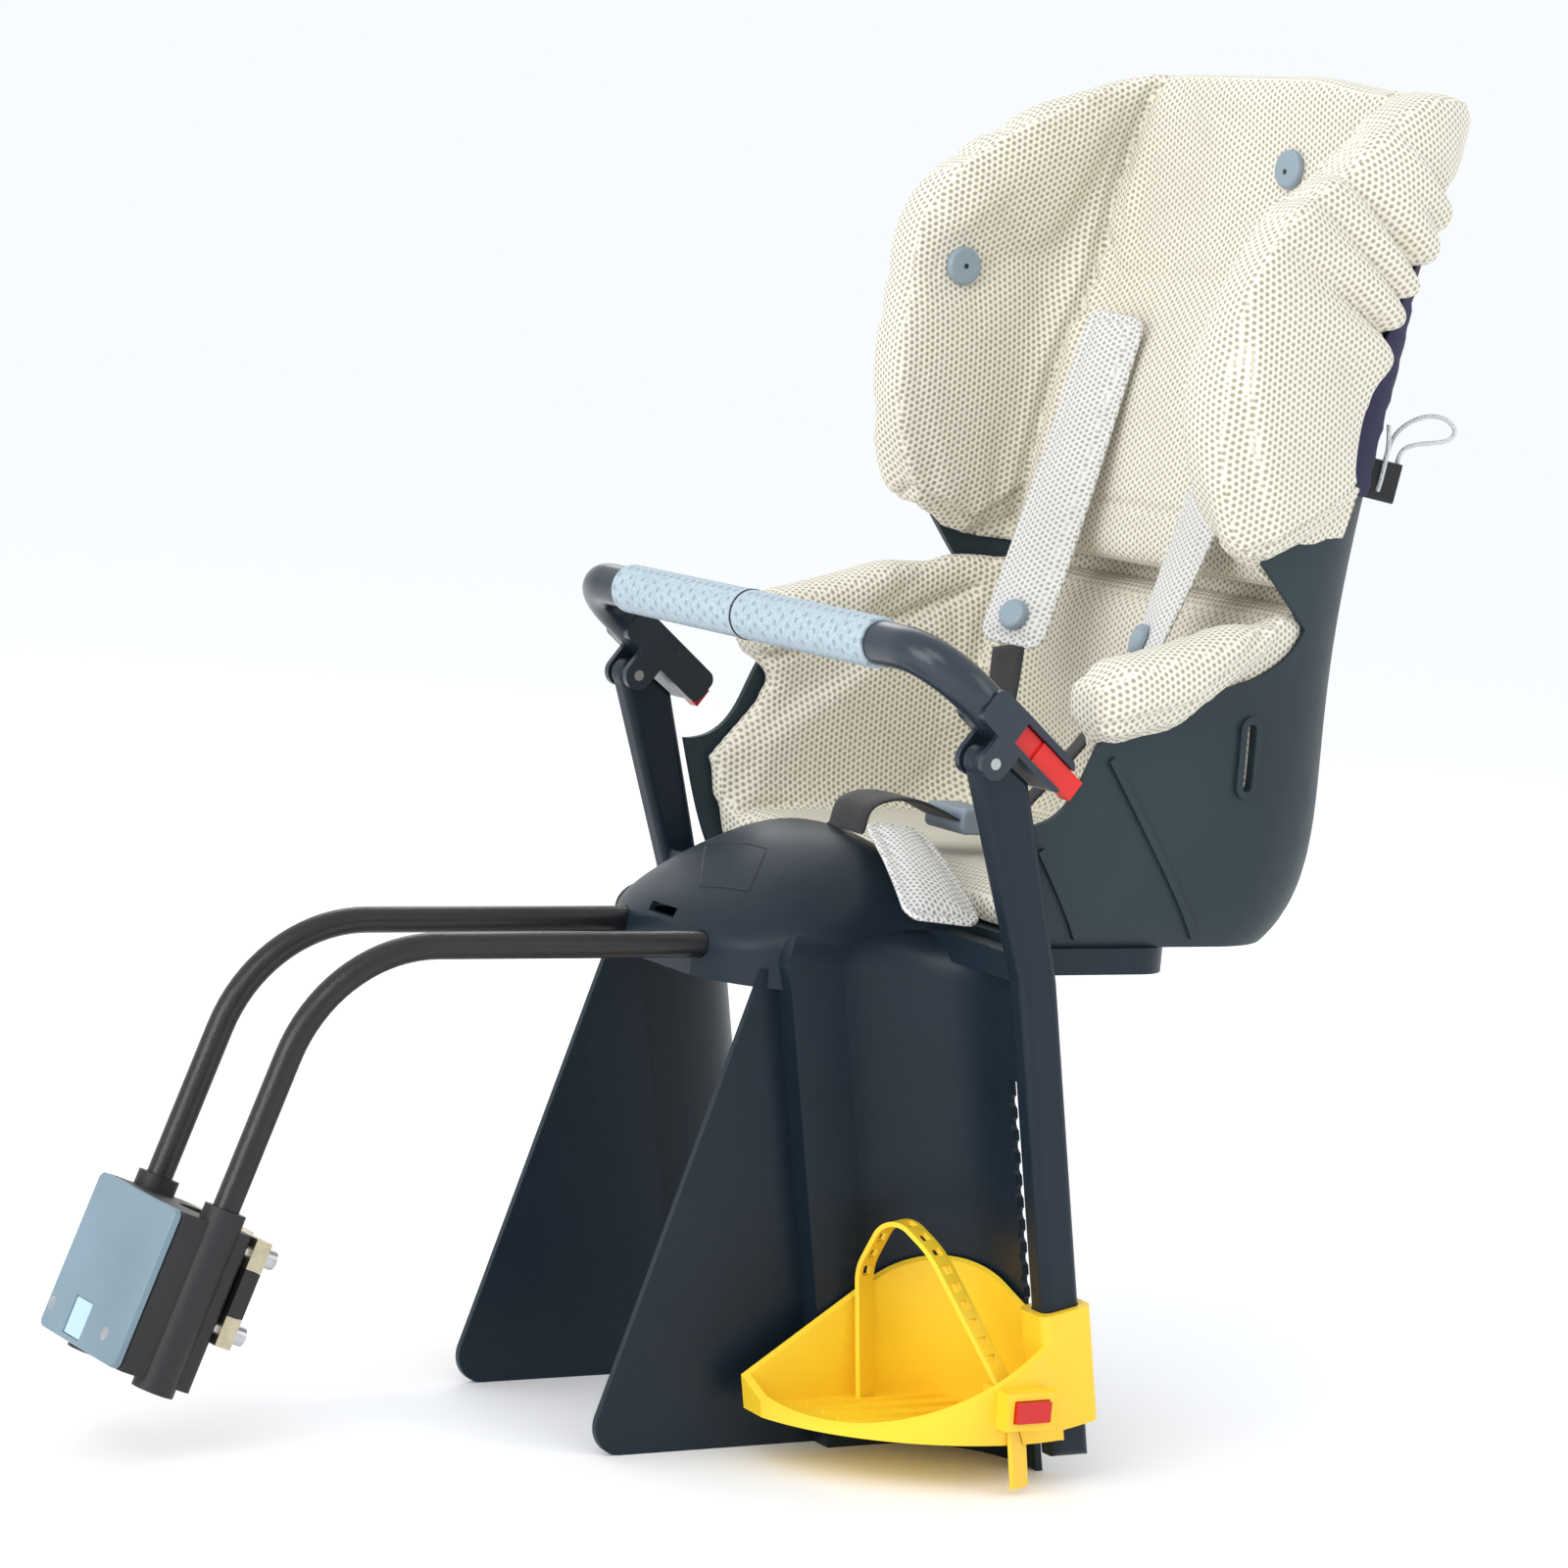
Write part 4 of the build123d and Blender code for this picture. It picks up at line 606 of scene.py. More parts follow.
# How far the cover may swell: on the back and more on the wings, at their front edges, and under the pads
BACK_SWELL, WING_SWELL = 4 * MM, 8 * MM
FRONT_SWELL, FRONT_SWELL_MORE = 2 * MM, 10 * MM
PAD_SWELL, PAD_SWELL_MORE = 0.5 * MM, 12 * MM
ROOF_SWELL_LESS, ROOF_LIFT_LESS = 0.8, 0.9


def left_roof(spots):
    """1 at the roof of the left wing, 0 away from it."""
    return eased(spots[:, 1], *ROOF_ASIDE) * eased(spots[:, 2], *ROOF_HEIGHT)


def back_room(spots):
    """How far the back cover may swell at each spot."""
    room = BACK_SWELL + WING_SWELL * eased(aside(spots), *SWELL_ASIDE)
    gap, _ = side_distance(spots, WING_FRONT)
    room = np.minimum(room, FRONT_SWELL + FRONT_SWELL_MORE * eased(gap, *FRONT_GAP))
    room = room * (1 - ROOF_SWELL_LESS * left_roof(spots))
    for node in BUTTONS:
        room = room * eased(far_from(spots, middle_of(node)), *DIMPLE_GAP)
    for flip in (1, MIRROR):
        gap, _ = line_distance(spots, [PAD_TOP * flip, PAD_FOOT * flip])
        room = np.minimum(room, PAD_SWELL + PAD_SWELL_MORE * eased(gap, *PAD_GAP))
    return room


back_cover = puffed("back_cover", "back_cushion", back_seams, pressure=4.0, room=back_room)
rounded(back_cover)
sewn(back_cover, back_seams, depth=8 * MM, width=3.4 * MM)

# Fuller shoulders and top edge, still round the buttons
SHOULDER_LIFT = 9 * MM
TOP_REAR, TOP_REAR_LESS = (0.60, 0.66), 0.7
spots = points_of(back_cover)
lift = SHOULDER_LIFT * eased(spots[:, 2], *LIFT_HEIGHT)
lift = lift * (1 - TOP_REAR_LESS * eased(-spots[:, 0], *TOP_REAR))
lift = lift * (1 - ROOF_LIFT_LESS * left_roof(spots))
for node in BUTTONS:
    lift = lift * eased(far_from(spots, middle_of(node)), *LIFT_GAP)
spots[:, 2] += lift

# Front edges of the wings, drawn back towards the shell, on the left wing up to its roof
EDGE_DRAW = 13 * MM
LEFT_EDGE_HIGHER = 60 * MM
gap, _ = side_distance(spots, WING_EDGE)
height = spots[:, 2] - LEFT_EDGE_HIGHER * (spots[:, 1] > 0)
on_wing = eased(aside(spots), *EDGE_ASIDE) * (1 - eased(height, *EDGE_HEIGHT))
spots[:, 0] -= EDGE_DRAW * (1 - eased(gap, *EDGE_GAP)) * on_wing

# The left wing's roof dips beside the back's button
ROOF_DIP = np.array((-0.552, 0.130, 0.626))
DIP_DEPTH, DIP_WIDTH = 9 * MM, 44 * MM
dip = DIP_DEPTH * hill(far_from(spots, ROOF_DIP), DIP_WIDTH)
spots[:, 0] -= dip
spots[:, 2] -= dip
put_points(back_cover, spots)

# Outside the wings the hem runs down towards the front
HEM_X = (-0.581, -0.541, -0.489)
HEM_SOLID = (0.424, 0.391, 0.411)
HEM_OUTSIDE = (0.446, 0.422, 0.397)
HEM_FADE = 70 * MM
spots = points_of(back_cover)
level = np.interp(spots[:, 0], HEM_X, HEM_SOLID)
rise = (np.interp(spots[:, 0], HEM_X, HEM_OUTSIDE) - level) * eased(aside(spots), *HEM_ASIDE)
spots[:, 2] += rise * (1 - np.clip((spots[:, 2] - level) / HEM_FADE, 0, 1))
put_points(back_cover, spots)

# Flat stitched hem along the lower edge, thin where it lies on the wings
HEM_THICK, HEM_WIDTH, HEM_ROUNDING = 3 * MM, 24 * MM, 0.8
HEM_STITCH = 11 * MM
GROOVE_DEPTH = 2.4 * MM
HEM_GROOVE_WIDTH = 2.0 * MM
above = spots[:, 2] - (level + rise)
on_shell = np.array([shell_skin.find_nearest(Vector(spot))[0] for spot in spots])
stand = spots - on_shell
thick = np.linalg.norm(stand, axis=1)
thinned = np.minimum(thick, HEM_THICK + HEM_WIDTH * np.clip(above / HEM_WIDTH, 0, None) ** HEM_ROUNDING)
share = 1 + (thinned / np.maximum(thick, 1e-9) - 1) * eased(aside(spots), *THIN_ASIDE)
put_points(back_cover, on_shell + stand * share[:, None])
groove = GROOVE_DEPTH * hill(above - HEM_STITCH, HEM_GROOVE_WIDTH)
put_points(back_cover, points_of(back_cover) - normals_of(back_cover) * groove[:, None])

# Each pleat's place along the gathers, its depth and how far forward it runs, in millimetres, and its slant
PLEATS = [
    (12, 9.0, 40, 0.10),
    (34, 8.0, 32, 0.05),
    (59, 17.0, 80, 0.16),
    (79, 13.0, 96, 0.12),
    (99, 16.0, 70, 0.06),
]
PLEAT_FULL, PLEAT_FADE = 8.0 * MM, 50 * MM
PLEAT_WIDTH, PLEAT_FLARE, PLEAT_SHARPNESS = 6.0 * MM, 0.03, 1.3
PLEAT_FACING = (-0.45, 0.1)
PLEAT_START, PLEAT_END = (-1 * MM, 20 * MM), (104 * MM, 135 * MM)
spots = points_of(back_cover)
ways = normals_of(back_cover)
gap, along = side_distance(spots, GATHER)
outside = eased(facing_aside(ways, spots), *PLEAT_FACING) * eased(aside(spots), *PLEAT_ASIDE)
gathered = eased(along, *PLEAT_START) * (1 - eased(along, *PLEAT_END))
fold = PLEAT_FULL * np.exp(-gap / PLEAT_FADE) * gathered
for place, deep, reach, slant in PLEATS:
    drift = along - place * MM + slant * gap
    crease = np.exp(-np.abs(drift / (PLEAT_WIDTH + PLEAT_FLARE * gap)) ** PLEAT_SHARPNESS)
    fold = fold - deep * MM * crease * hill(gap, reach * MM)
put_points(back_cover, spots + ways * (fold * outside)[:, None])

# Seat cushion: a seam along each arm roll
ARM_SEAM = [(-0.388, 0.156, 0.300), (-0.420, 0.156, 0.318), (-0.470, 0.155, 0.332), (-0.548, 0.148, 0.362)]
arm_seams = [laid("seat_cushion", np.array(ARM_SEAM) * flip) for flip in (1, MIRROR)]
CROTCH_TOP = np.array((-0.376, 0.045, 0.250))
CROTCH_FOOT = np.array((-0.356, 0.134, 0.212))
CROTCH_GAP = (30 * MM, 60 * MM)
CROTCH_SWELL, CROTCH_SWELL_MORE = 0.3 * MM, 8 * MM
SEAT_SWELL = 7 * MM


def seat_room(spots):
    """How far the seat cover may swell at each spot."""
    gap, _ = line_distance(spots, [CROTCH_TOP, CROTCH_FOOT])
    return np.minimum(SEAT_SWELL, CROTCH_SWELL + CROTCH_SWELL_MORE * eased(gap, *CROTCH_GAP))


seat_cover = puffed("seat_cover", "seat_cushion", arm_seams, pressure=3.0, room=seat_room)
rounded(seat_cover)

# Full rolls on the arm rests, thinner at their ends
SLEEVE_HEM = [(-0.412, 0.313), (-0.464, 0.325), (-0.524, 0.372)]
ROLL = 8 * MM
ROLL_ASIDE, ROLL_ABOVE = (0.142, 0.158), (2 * MM, 18 * MM)
ROLL_FRONT, ROLL_REAR = (0.405, 0.430), (0.500, 0.545)
spots = points_of(seat_cover)
sleeve_x, sleeve_z = zip(*reversed(SLEEVE_HEM))
above = spots[:, 2] - np.interp(spots[:, 0], sleeve_x, sleeve_z)
ends = eased(-spots[:, 0], *ROLL_FRONT) * (1 - eased(-spots[:, 0], *ROLL_REAR))
roll = ROLL * eased(aside(spots), *ROLL_ASIDE) * eased(above, *ROLL_ABOVE) * ends
put_points(seat_cover, spots + normals_of(seat_cover) * roll[:, None])
sewn(seat_cover, arm_seams, depth=5 * MM, width=3.2 * MM)

# Stitched groove along each sleeve's hem
SLEEVE_STITCH = 9 * MM
SLEEVE_GROOVE_WIDTH = 2.4 * MM
SLEEVE_ASIDE, SLEEVE_FACING = (0.165, 0.175), (0.2, 0.6)
spots = points_of(seat_cover)
ways = normals_of(seat_cover)
gap, _ = side_distance(spots, SLEEVE_HEM)
outside = eased(facing_aside(ways, spots), *SLEEVE_FACING) * eased(aside(spots), *SLEEVE_ASIDE)
groove = GROOVE_DEPTH * hill(gap - SLEEVE_STITCH, SLEEVE_GROOVE_WIDTH)
put_points(seat_cover, spots - ways * (groove * outside)[:, None])

# Elastic behind the gathers, pulled into fine wrinkles across the band
ELASTIC_FOOT = 0.446
ELASTIC_CELL = 7 * MM
ELASTIC_PASSES = 6
WRINKLE, WRINKLE_STAND = 0.45 * MM, 0.7 * MM

# The wrinkles' waves, in radians to a metre, and their strengths
BROAD_WAVE, DRIFT_WAVE, DRIFT = 420, 45, 1.7
FINE_WAVE, FINE_SLANT, FINE_SHARE = 910, 160, 0.5


def wrinkle(spot):
    """Two waves up the band, the first one drifting across it."""
    broad = sin(spot.z * BROAD_WAVE + DRIFT * sin(spot.y * DRIFT_WAVE))
    fine = sin(spot.z * FINE_WAVE + spot.x * FINE_SLANT)
    return broad + FINE_SHARE * fine


elastic_skin = bmesh.new()
elastic_skin.from_mesh(NODES["elastic_hem"].data)
bmesh.ops.remove_doubles(elastic_skin, verts=elastic_skin.verts, dist=SAME_POINT)
for _ in range(ELASTIC_PASSES):
    long_edges = [edge for edge in elastic_skin.edges if edge.calc_length() > ELASTIC_CELL]
    if not long_edges:
        break
    bmesh.ops.subdivide_edges(elastic_skin, edges=long_edges, cuts=1, use_grid_fill=False)
    bmesh.ops.triangulate(elastic_skin, faces=elastic_skin.faces)
bmesh.ops.bisect_plane(
    elastic_skin,
    geom=elastic_skin.verts[:] + elastic_skin.edges[:] + elastic_skin.faces[:],
    plane_co=(0, 0, ELASTIC_FOOT),
    plane_no=(0, 0, 1),
    clear_inner=True,
)
bmesh.ops.holes_fill(elastic_skin, edges=[edge for edge in elastic_skin.edges if edge.is_boundary])
for vert in elastic_skin.verts:
    off_shell = shell_skin.find_nearest(vert.co)[1]
    vert.co += off_shell * (WRINKLE * wrinkle(vert.co) + WRINKLE_STAND)
elastic_band = skin_piece("elastic_band", elastic_skin, "elastic_navy", "carrier")
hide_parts("elastic_hem")

# Lining of the bucket's rear wall, in the gap between the two covers
LINING_AXIS = Vector((-0.52, 0.0, 0.0))
LINING_FOOT, LINING_HEAD = 0.366, 0.408
LINING_STAND, LINING_THICK = 1.0 * MM, 2.5 * MM
LINING_START, LINING_TURN = 0.62 * pi, 0.76 * pi
LINING_STEPS = 80
lining_rows = []
for step in range(LINING_STEPS + 1):
    turn = LINING_START + LINING_TURN * step / LINING_STEPS
    way = Vector((cos(turn), sin(turn), 0))
    rear, front = [], []
    for level in (LINING_FOOT, (LINING_FOOT + LINING_HEAD) / 2, LINING_HEAD):
        wall = shell_skin.ray_cast(LINING_AXIS + Vector((0, 0, level)), way)[0]
        rear.append(wall - way * LINING_STAND)
        front.append(wall - way * (LINING_STAND + LINING_THICK))
    lining_rows.append(rear + front[::-1])
rear_lining = loft_rows("rear_lining", lining_rows, "mesh_fabric", "carrier")

# Harness pads: a padded middle, a sewn groove and a flat bound edge
PAD_STEPS, PAD_STRIPS = 90, 16
PAD_CORNER = 11 * MM
PAD_THICK = 9 * MM
PAD_EDGE, PAD_EDGE_ROUND = 1.5 * MM, 1.6 * MM
PAD_GROOVE, PAD_GROOVE_DEPTH, PAD_GROOVE_WIDTH = 5.2 * MM, 0.8 * MM, 1.0 * MM
PAD_CROWN_START, PAD_CROWN_RUN, PAD_CROWN_ROUNDING = 5.6 * MM, 9 * MM, 0.55
PAD_STITCH, PAD_STITCH_SPACE, PAD_STITCH_RISE = 2.6 * MM, 1.4 * MM, 0.9 * MM
PAD_STITCH_STEPS = 60


def pad_rise(inward):
    """Half the pad's thickness at a distance inside its edge."""
    edge = PAD_EDGE * min(1, (inward / PAD_EDGE_ROUND) ** 0.5)
    risen = min(1, max(0, inward - PAD_CROWN_START) / PAD_CROWN_RUN) ** PAD_CROWN_ROUNDING
    crown = (PAD_THICK / 2 - PAD_EDGE) * risen
    groove = PAD_GROOVE_DEPTH * exp(-(((inward - PAD_GROOVE) / PAD_GROOVE_WIDTH) ** 2))
    return max(edge + crown - groove, 0)


def harness_pad(name, node, start, end, across_start, across_end, width, waist, bow):
    """A bound pad between two ends, narrowed at its start, twisted and bowed along its length."""
    start, end = Vector(start), Vector(end)
    run = (end - start).normalized()
    length = (end - start).length

    def facing(far):
        """The pad's ways across and out at a distance from its start."""
        across = Vector(across_start).lerp(Vector(across_end), (far / length) ** 2)
        across = (across - run * across.dot(run)).normalized()
        out = run.cross(across)
        return across, -out if out.x + out.z < 0 else out

    def half_at(far, inset):
        """Half the pad's width at a distance from its start, inside an inset from its round-cornered edge."""
        half = width / 2 * (1 - waist * (1 - far / length)) - inset
        near_end = min(far, length - far) - inset
        corner = PAD_CORNER - inset
        if near_end < corner:
            half += max(corner**2 - (corner - near_end) ** 2, 0) ** 0.5 - corner
        return half

    def middle_at(far, out, rise):
        """A point over the pad's bowed middle line."""
        return start + run * far + out * (bow * sin(pi * far / length) + rise)

    rows = []
    for step in range(PAD_STEPS + 1):
        even = step / PAD_STEPS
        far = length * (0.5 * even + 0.25 * (1 - cos(pi * even)))
        across, out = facing(far)
        middle = middle_at(far, out, 0)
        half = half_at(far, 0)
        top, bottom = [], []
        for strip in range(PAD_STRIPS + 1):
            side = -half * cos(pi * strip / PAD_STRIPS)
            rise = pad_rise(max(min(half - abs(side), far, length - far), 0))
            top.append(middle + across * side + out * rise)
            bottom.append(middle + across * side - out * rise)
        rows.append(top + bottom[-2:0:-1])
    piece = loft_rows(name, rows, "strap_fabric", "carrier", capped=False)
    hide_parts(node)
    for hand in (1, -1):
        line, outs = [], []
        for step in range(PAD_STITCH_STEPS + 1):
            far = PAD_GROOVE + (length - 2 * PAD_GROOVE) * step / PAD_STITCH_STEPS
            across, out = facing(far)
            middle = middle_at(far, out, PAD_STITCH_RISE)
            line.append(middle + across * hand * half_at(far, PAD_GROOVE))
            outs.append(out)
        thread = f"{name}_stitch_{hand + 1}"
        stitches(thread, line, outs, PAD_STITCH, PAD_STITCH_SPACE, "strap_fabric", "carrier")


PAD_ACROSS = Vector((-0.4, 0.92, 0))
LEFT_TOP_ACROSS = Vector((0.05, 1, 0))
CROTCH_ACROSS = (1, 0, 0)
for hand, side, top_across in ((1, "right", PAD_ACROSS), (-1, "left", LEFT_TOP_ACROSS)):
    flip = Vector((1, hand, 1))
    harness_pad(
        f"harness_pad_{side}",
        f"shoulder_pad_{side}",
        Vector(PAD_TOP) * flip,
        Vector(PAD_FOOT) * flip,
        top_across * flip,
        PAD_ACROSS * flip,
        width=44 * MM,
        waist=0.12,
        bow=-1.5 * MM,
    )
harness_pad(
    "crotch_flap",
    "crotch_pad",
    CROTCH_TOP,
    CROTCH_FOOT,
    CROTCH_ACROSS,
    CROTCH_ACROSS,
    width=45 * MM,
    waist=0.25,
    bow=3 * MM,
)

# Webbing: woven bands with rounded edges. One half of a band's outline, in halves of its width and thickness:
BAND_HALF = ((-1, 0), (-0.94, 0.8), (-0.5, 1), (0, 0.86), (0.5, 1), (0.94, 0.8))
BAND_THICK = 2 * MM


def band(name, node, line, sides, widths):
    """A woven band along a line, facing the way that its sides give."""
    rows = []
    for index, (point, side, width) in enumerate(zip(line, sides, widths)):
        before, after = line[max(index - 1, 0)], line[min(index + 1, len(line) - 1)]
        run = (after - before).normalized()
        side = (side - run * side.dot(run)).normalized()
        out = run.cross(side)
        row = []
        for half in (1, -1):
            for share, rise in BAND_HALF:
                row.append(point + side * width / 2 * share * half + out * BAND_THICK / 2 * rise * half)
        rows.append(row)
    piece = loft_rows(name, rows, "webbing", "carrier")
    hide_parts(node)


LEVEL_ACROSS = Vector((0, 1, 0))
CROTCH_Y = 0.022
CROTCH_WIDTH = 36 * MM
CROTCH_STEPS = 60
CROTCH_ARCH = [
    (-0.362, CROTCH_Y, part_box("crotch_webbing")[0].z),
    (-0.3635, CROTCH_Y, 0.246),
    (-0.3675, CROTCH_Y, 0.2575),
    (-0.380, CROTCH_Y, 0.2625),
    (-0.397, CROTCH_Y, 0.262),
    (-0.411, CROTCH_Y, 0.2575),
    (-0.424, CROTCH_Y, 0.252),
]
arch = [Vector(point) for point in smooth_line(CROTCH_ARCH, CROTCH_STEPS)]
crotch_sides, crotch_widths = [LEVEL_ACROSS] * CROTCH_STEPS, [CROTCH_WIDTH] * CROTCH_STEPS
band("crotch_strap", "crotch_webbing", arch, crotch_sides, crotch_widths)

STRAP_WIDTH, STRAP_END_WIDTH = 20 * MM, 10 * MM
STRAP_BOW = 6 * MM
STRAP_STEPS = 30
TONGUE_GAP = 0.3 * MM
TONGUE_SPREAD, TONGUE_HEIGHT = 7 * MM, 0.251
strap_end_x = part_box("buckle_tongue")[0].x - TONGUE_GAP
for hand, side in ((1, "right"), (-1, "left")):
    flip = Vector((1, hand, 1))
    first = Vector(PAD_FOOT) * flip
    last = Vector((strap_end_x, CROTCH_Y - hand * TONGUE_SPREAD, TONGUE_HEIGHT))
    run = (Vector(PAD_FOOT) - Vector(PAD_TOP)).normalized() * flip
    line, sides, widths = [], [], []
    for step in range(STRAP_STEPS + 1):
        share = step / STRAP_STEPS
        bend = 3 * share**2 - 2 * share**3
        line.append(first.lerp(last, share) + run * STRAP_BOW * sin(pi * share))
        sides.append((PAD_ACROSS * flip * hand).lerp(LEVEL_ACROSS, bend))
        widths.append(STRAP_WIDTH + (STRAP_END_WIDTH - STRAP_WIDTH) * bend)
    band(f"shoulder_strap_{side}", f"shoulder_webbing_{side}", line, sides, widths)

# Small dark discs on the cushion buttons, on the face that each turns to the child: painted shade where each
# button has a hole.
# A disc's rings, each with its height over the face and its radius in millimetres:
HOLE_SHADE_RINGS = ((0.02, 1.6), (0.25, 1.5), (0.3, 1.1), (0.05, 0.5))
HOLE_SIDES = 14
CHILD_HEAD = Vector((-0.45, 0.0, 0.5))
CLEAR_OF_BUTTON = 50 * MM
button_faces = {
    "cushion_button_wing": LEVEL_ACROSS,
    "cushion_button_back": (CHILD_HEAD - Vector(middle_of("cushion_button_back"))).normalized(),
}
for node, towards in button_faces.items():
    button_skin = BVHTree.FromObject(NODES[node], bpy.context.evaluated_depsgraph_get())
    start = Vector(middle_of(node)) + towards * CLEAR_OF_BUTTON
    hit, normal, _, _ = button_skin.ray_cast(start, -towards)
    right = normal.orthogonal().normalized()
    up = normal.cross(right)
    rows = []
    for rise, radius in HOLE_SHADE_RINGS:
        rows.append(ring_about(hit + normal * rise * MM, right, up, radius * MM, HOLE_SIDES))
    # A dark disc of black plastic, as painted shade of the button's hole.
    loft_rows(f"{node}_hole", rows, "lock_black", "carrier")

# Seam ring between the two foam sleeves
SEAM_RING_STEPS, SEAM_RING_SIDES = 48, 6
SEAM_RING_RADIUS = 0.45 * MM
low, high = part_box("bumper_foam_left")
bar = Vector(((low.x + high.x) / 2, 0, (low.z + high.z) / 2))
bar_radius = (high.z - low.z) / 2
rows = []
for step in range(SEAM_RING_STEPS + 1):
    turn = 2 * pi * step / SEAM_RING_STEPS
    way = Vector((cos(turn), 0, sin(turn)))
    rows.append(ring_about(bar + way * bar_radius, way, LEVEL_ACROSS, SEAM_RING_RADIUS, SEAM_RING_SIDES))
loft_rows("foam_seam", rows, "bumper_plastic", "bumper", capped=False)

# Outline of the hatch on the dome, as x and y. A thin black bead along it is painted shade of the groove
# round the hatch.
HATCH = [(-0.281, 0.011), (-0.2925, 0.042), (-0.3175, 0.0165), (-0.312, -0.0375), (-0.281, 0.011)]
HATCH_STEPS = 16
HATCH_GAP = 0.4 * MM
OVER_DOME = 0.4
dome_skin = BVHTree.FromObject(NODES["leg_guard_frame"], bpy.context.evaluated_depsgraph_get())
hatch_line, hatch_outs = [], []
for (x0, y0), (x1, y1) in zip(HATCH, HATCH[1:]):
    for step in range(HATCH_STEPS):
        share = step / HATCH_STEPS
        start = Vector((x0 + (x1 - x0) * share, y0 + (y1 - y0) * share, OVER_DOME))
        hit, normal, _, _ = dome_skin.ray_cast(start, Vector((0, 0, -1)))
        hatch_line.append(hit)
        hatch_outs.append(normal)
hatch_line.append(hatch_line[0])
hatch_outs.append(hatch_outs[0])
# A black bead laid on the dome: painted shade in the hatch's groove.
bead("hatch_groove_shade", hatch_line, hatch_outs, HATCH_GAP, "lock_black", "carrier")

# Drawcord loop, up out of the lock, round and back into it
LOCK_MIDDLE = Vector((-0.621788, 0.125039, 0.453654))
LOCK_ACROSS = Vector((-0.496376, -0.868089, -0.005771))
LOCK_UP = Vector((-0.140276, 0.073647, 0.98737))
LOCK_OUT = Vector((-0.856699, 0.490916, -0.158328))
LOCK_TOP = 11.05 * MM
CORD_DIAMETER = 2.6 * MM
CORD_ROUTE = [
    (3.5, 0.0, 0.0),
    (3.5, 9.0, 0.0),
    (3.2, 18.0, 3.0),
    (2.5, 26.0, 10.5),
    (1.5, 30.0, 19.0),
    (0.5, 29.5, 27.5),
    (0.0, 24.5, 33.5),
    (-0.5, 18.5, 30.5),
    (-1.5, 15.5, 22.5),
    (-2.4, 13.0, 14.5),
    (-3.0, 9.5, 8.0),
    (-3.4, 5.0, 5.5),
    (-3.5, 0.0, 5.5),
]


def lock_point(across, up, out):
    """A point beside the lock, given in its own directions, in millimetres above its top."""
    return LOCK_MIDDLE + LOCK_ACROSS * across * MM + LOCK_UP * (LOCK_TOP + up * MM) + LOCK_OUT * out * MM


cord_curve = bpy.data.curves.new("drawcord", "CURVE")
cord_curve.dimensions = "3D"
cord_line = cord_curve.splines.new("NURBS")
cord_line.points.add(len(CORD_ROUTE) - 1)
for point, spot in zip(cord_line.points, CORD_ROUTE):
    point.co = (*lock_point(*spot), 1.0)
cord_line.order_u = 3
cord_line.use_endpoint_u = True
cord_line.resolution_u = 12
cord_curve.bevel_depth = CORD_DIAMETER / 2
cord_curve.bevel_resolution = 4
cord_curve.materials.append(FINISH["cord_grey"])
drawcord = bpy.data.objects.new("drawcord", cord_curve)
bpy.context.scene.collection.objects.link(drawcord)
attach(drawcord, "carrier")
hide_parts("drawcord_loop")

# Strand of the drawcord that comes down from the hem and goes into the lock's side
STRAND = [
    (-15.0, 19.0, -6.0),
    (-14.5, 9.0, -3.5),
    (-13.0, -1.0, -2.5),
    (-11.0, -11.0, -2.0),
    (-9.0, -17.0, -2.0),
]
STRAND_STEPS = 30
strand_line = [lock_point(*spot) for spot in smooth_line(STRAND, STRAND_STEPS)]
strand_outs = [LOCK_OUT] * STRAND_STEPS
bead("drawcord_strand", strand_line, strand_outs, CORD_DIAMETER / 2, "cord_grey", "carrier")

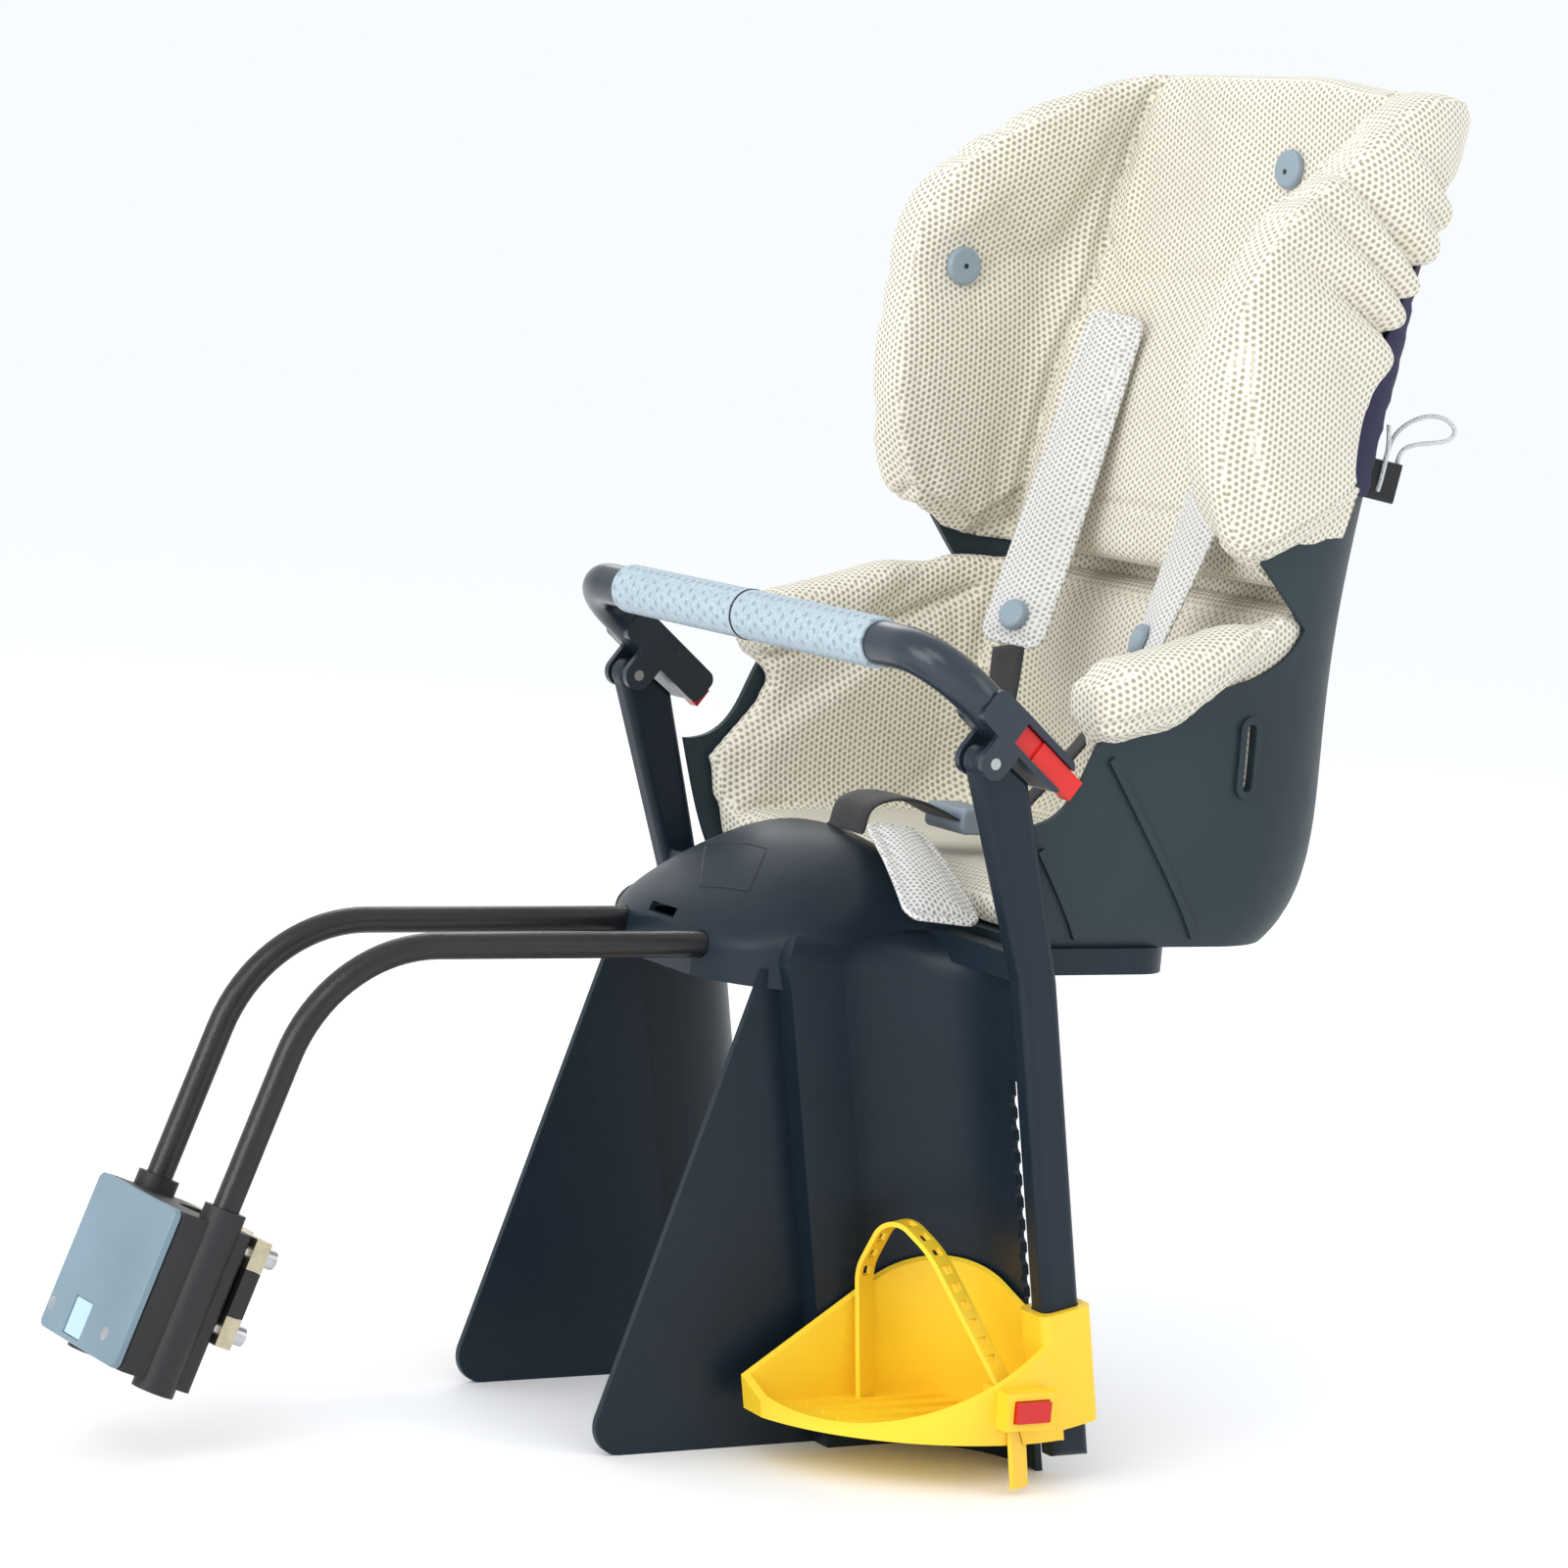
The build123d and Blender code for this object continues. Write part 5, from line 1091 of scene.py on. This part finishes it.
# Floor, light and camera
FLOOR = 12.0
floor_corners = ((-FLOOR, -FLOOR), (FLOOR, -FLOOR), (FLOOR, FLOOR), (-FLOOR, FLOOR))
floor_mesh = bpy.data.meshes.new("floor")
floor_mesh.from_pydata([(x, y, CAD_LOW.z) for x, y in floor_corners], [], [(0, 1, 2, 3)])
floor = bpy.data.objects.new("floor", floor_mesh)
bpy.context.scene.collection.objects.link(floor)
floor_finish = Shader("floor", Roughness=0.9)
floor_finish.colour(linear(255, 255, 255))
floor_mesh.materials.append(floor_finish.material)
floor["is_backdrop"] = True

world = bpy.data.worlds.new("studio")
world.use_nodes = True
backdrop = world.node_tree.nodes["Background"].inputs
backdrop["Color"].default_value = (0.95, 0.97, 1.0, 1.0)
backdrop["Strength"].default_value = 1.0
bpy.context.scene.world = world
bpy.context.scene.view_settings.view_transform = "Standard"

AIM = Vector((-0.35, 0.0, 0.3))


def softbox(name, place, size, power):
    """A square area light aimed at the seat."""
    lamp = bpy.data.lights.new(name, "AREA")
    lamp.energy = power
    lamp.size = size
    light = bpy.data.objects.new(name, lamp)
    light.location = place
    light.rotation_euler = (AIM - Vector(place)).to_track_quat("-Z", "Y").to_euler()
    bpy.context.scene.collection.objects.link(light)


softbox("key", (1.6, 1.6, 2.6), 1.6, 20)
softbox("side", (-2.2, 1.8, 1.2), 1.4, 8)
softbox("front", (2.4, 0.6, 1.1), 1.6, 30)
softbox("behind", (-1.6, -2.2, 2.0), 1.6, 16)

CAMERA_PLACE = Vector((1.0123, 2.1254, 0.5565))
CAMERA_ACROSS = Vector((-0.8463, 0.5256, 0.0867)).normalized()
CAMERA_BACK = Vector((0.5326, 0.8382, 0.1174)).normalized()
camera_up = CAMERA_BACK.cross(CAMERA_ACROSS).normalized()
camera_right = camera_up.cross(CAMERA_BACK)
lens = bpy.data.cameras.new("camera")
lens.lens = 108
lens.sensor_width = 36
lens.shift_x = -0.0025
lens.shift_y = 0.0074
camera = bpy.data.objects.new("camera", lens)
turn = Matrix((camera_right, camera_up, CAMERA_BACK)).transposed()
camera.matrix_world = Matrix.Translation(CAMERA_PLACE) @ turn.to_4x4()
bpy.context.scene.collection.objects.link(camera)
bpy.context.scene.camera = camera

low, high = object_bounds()
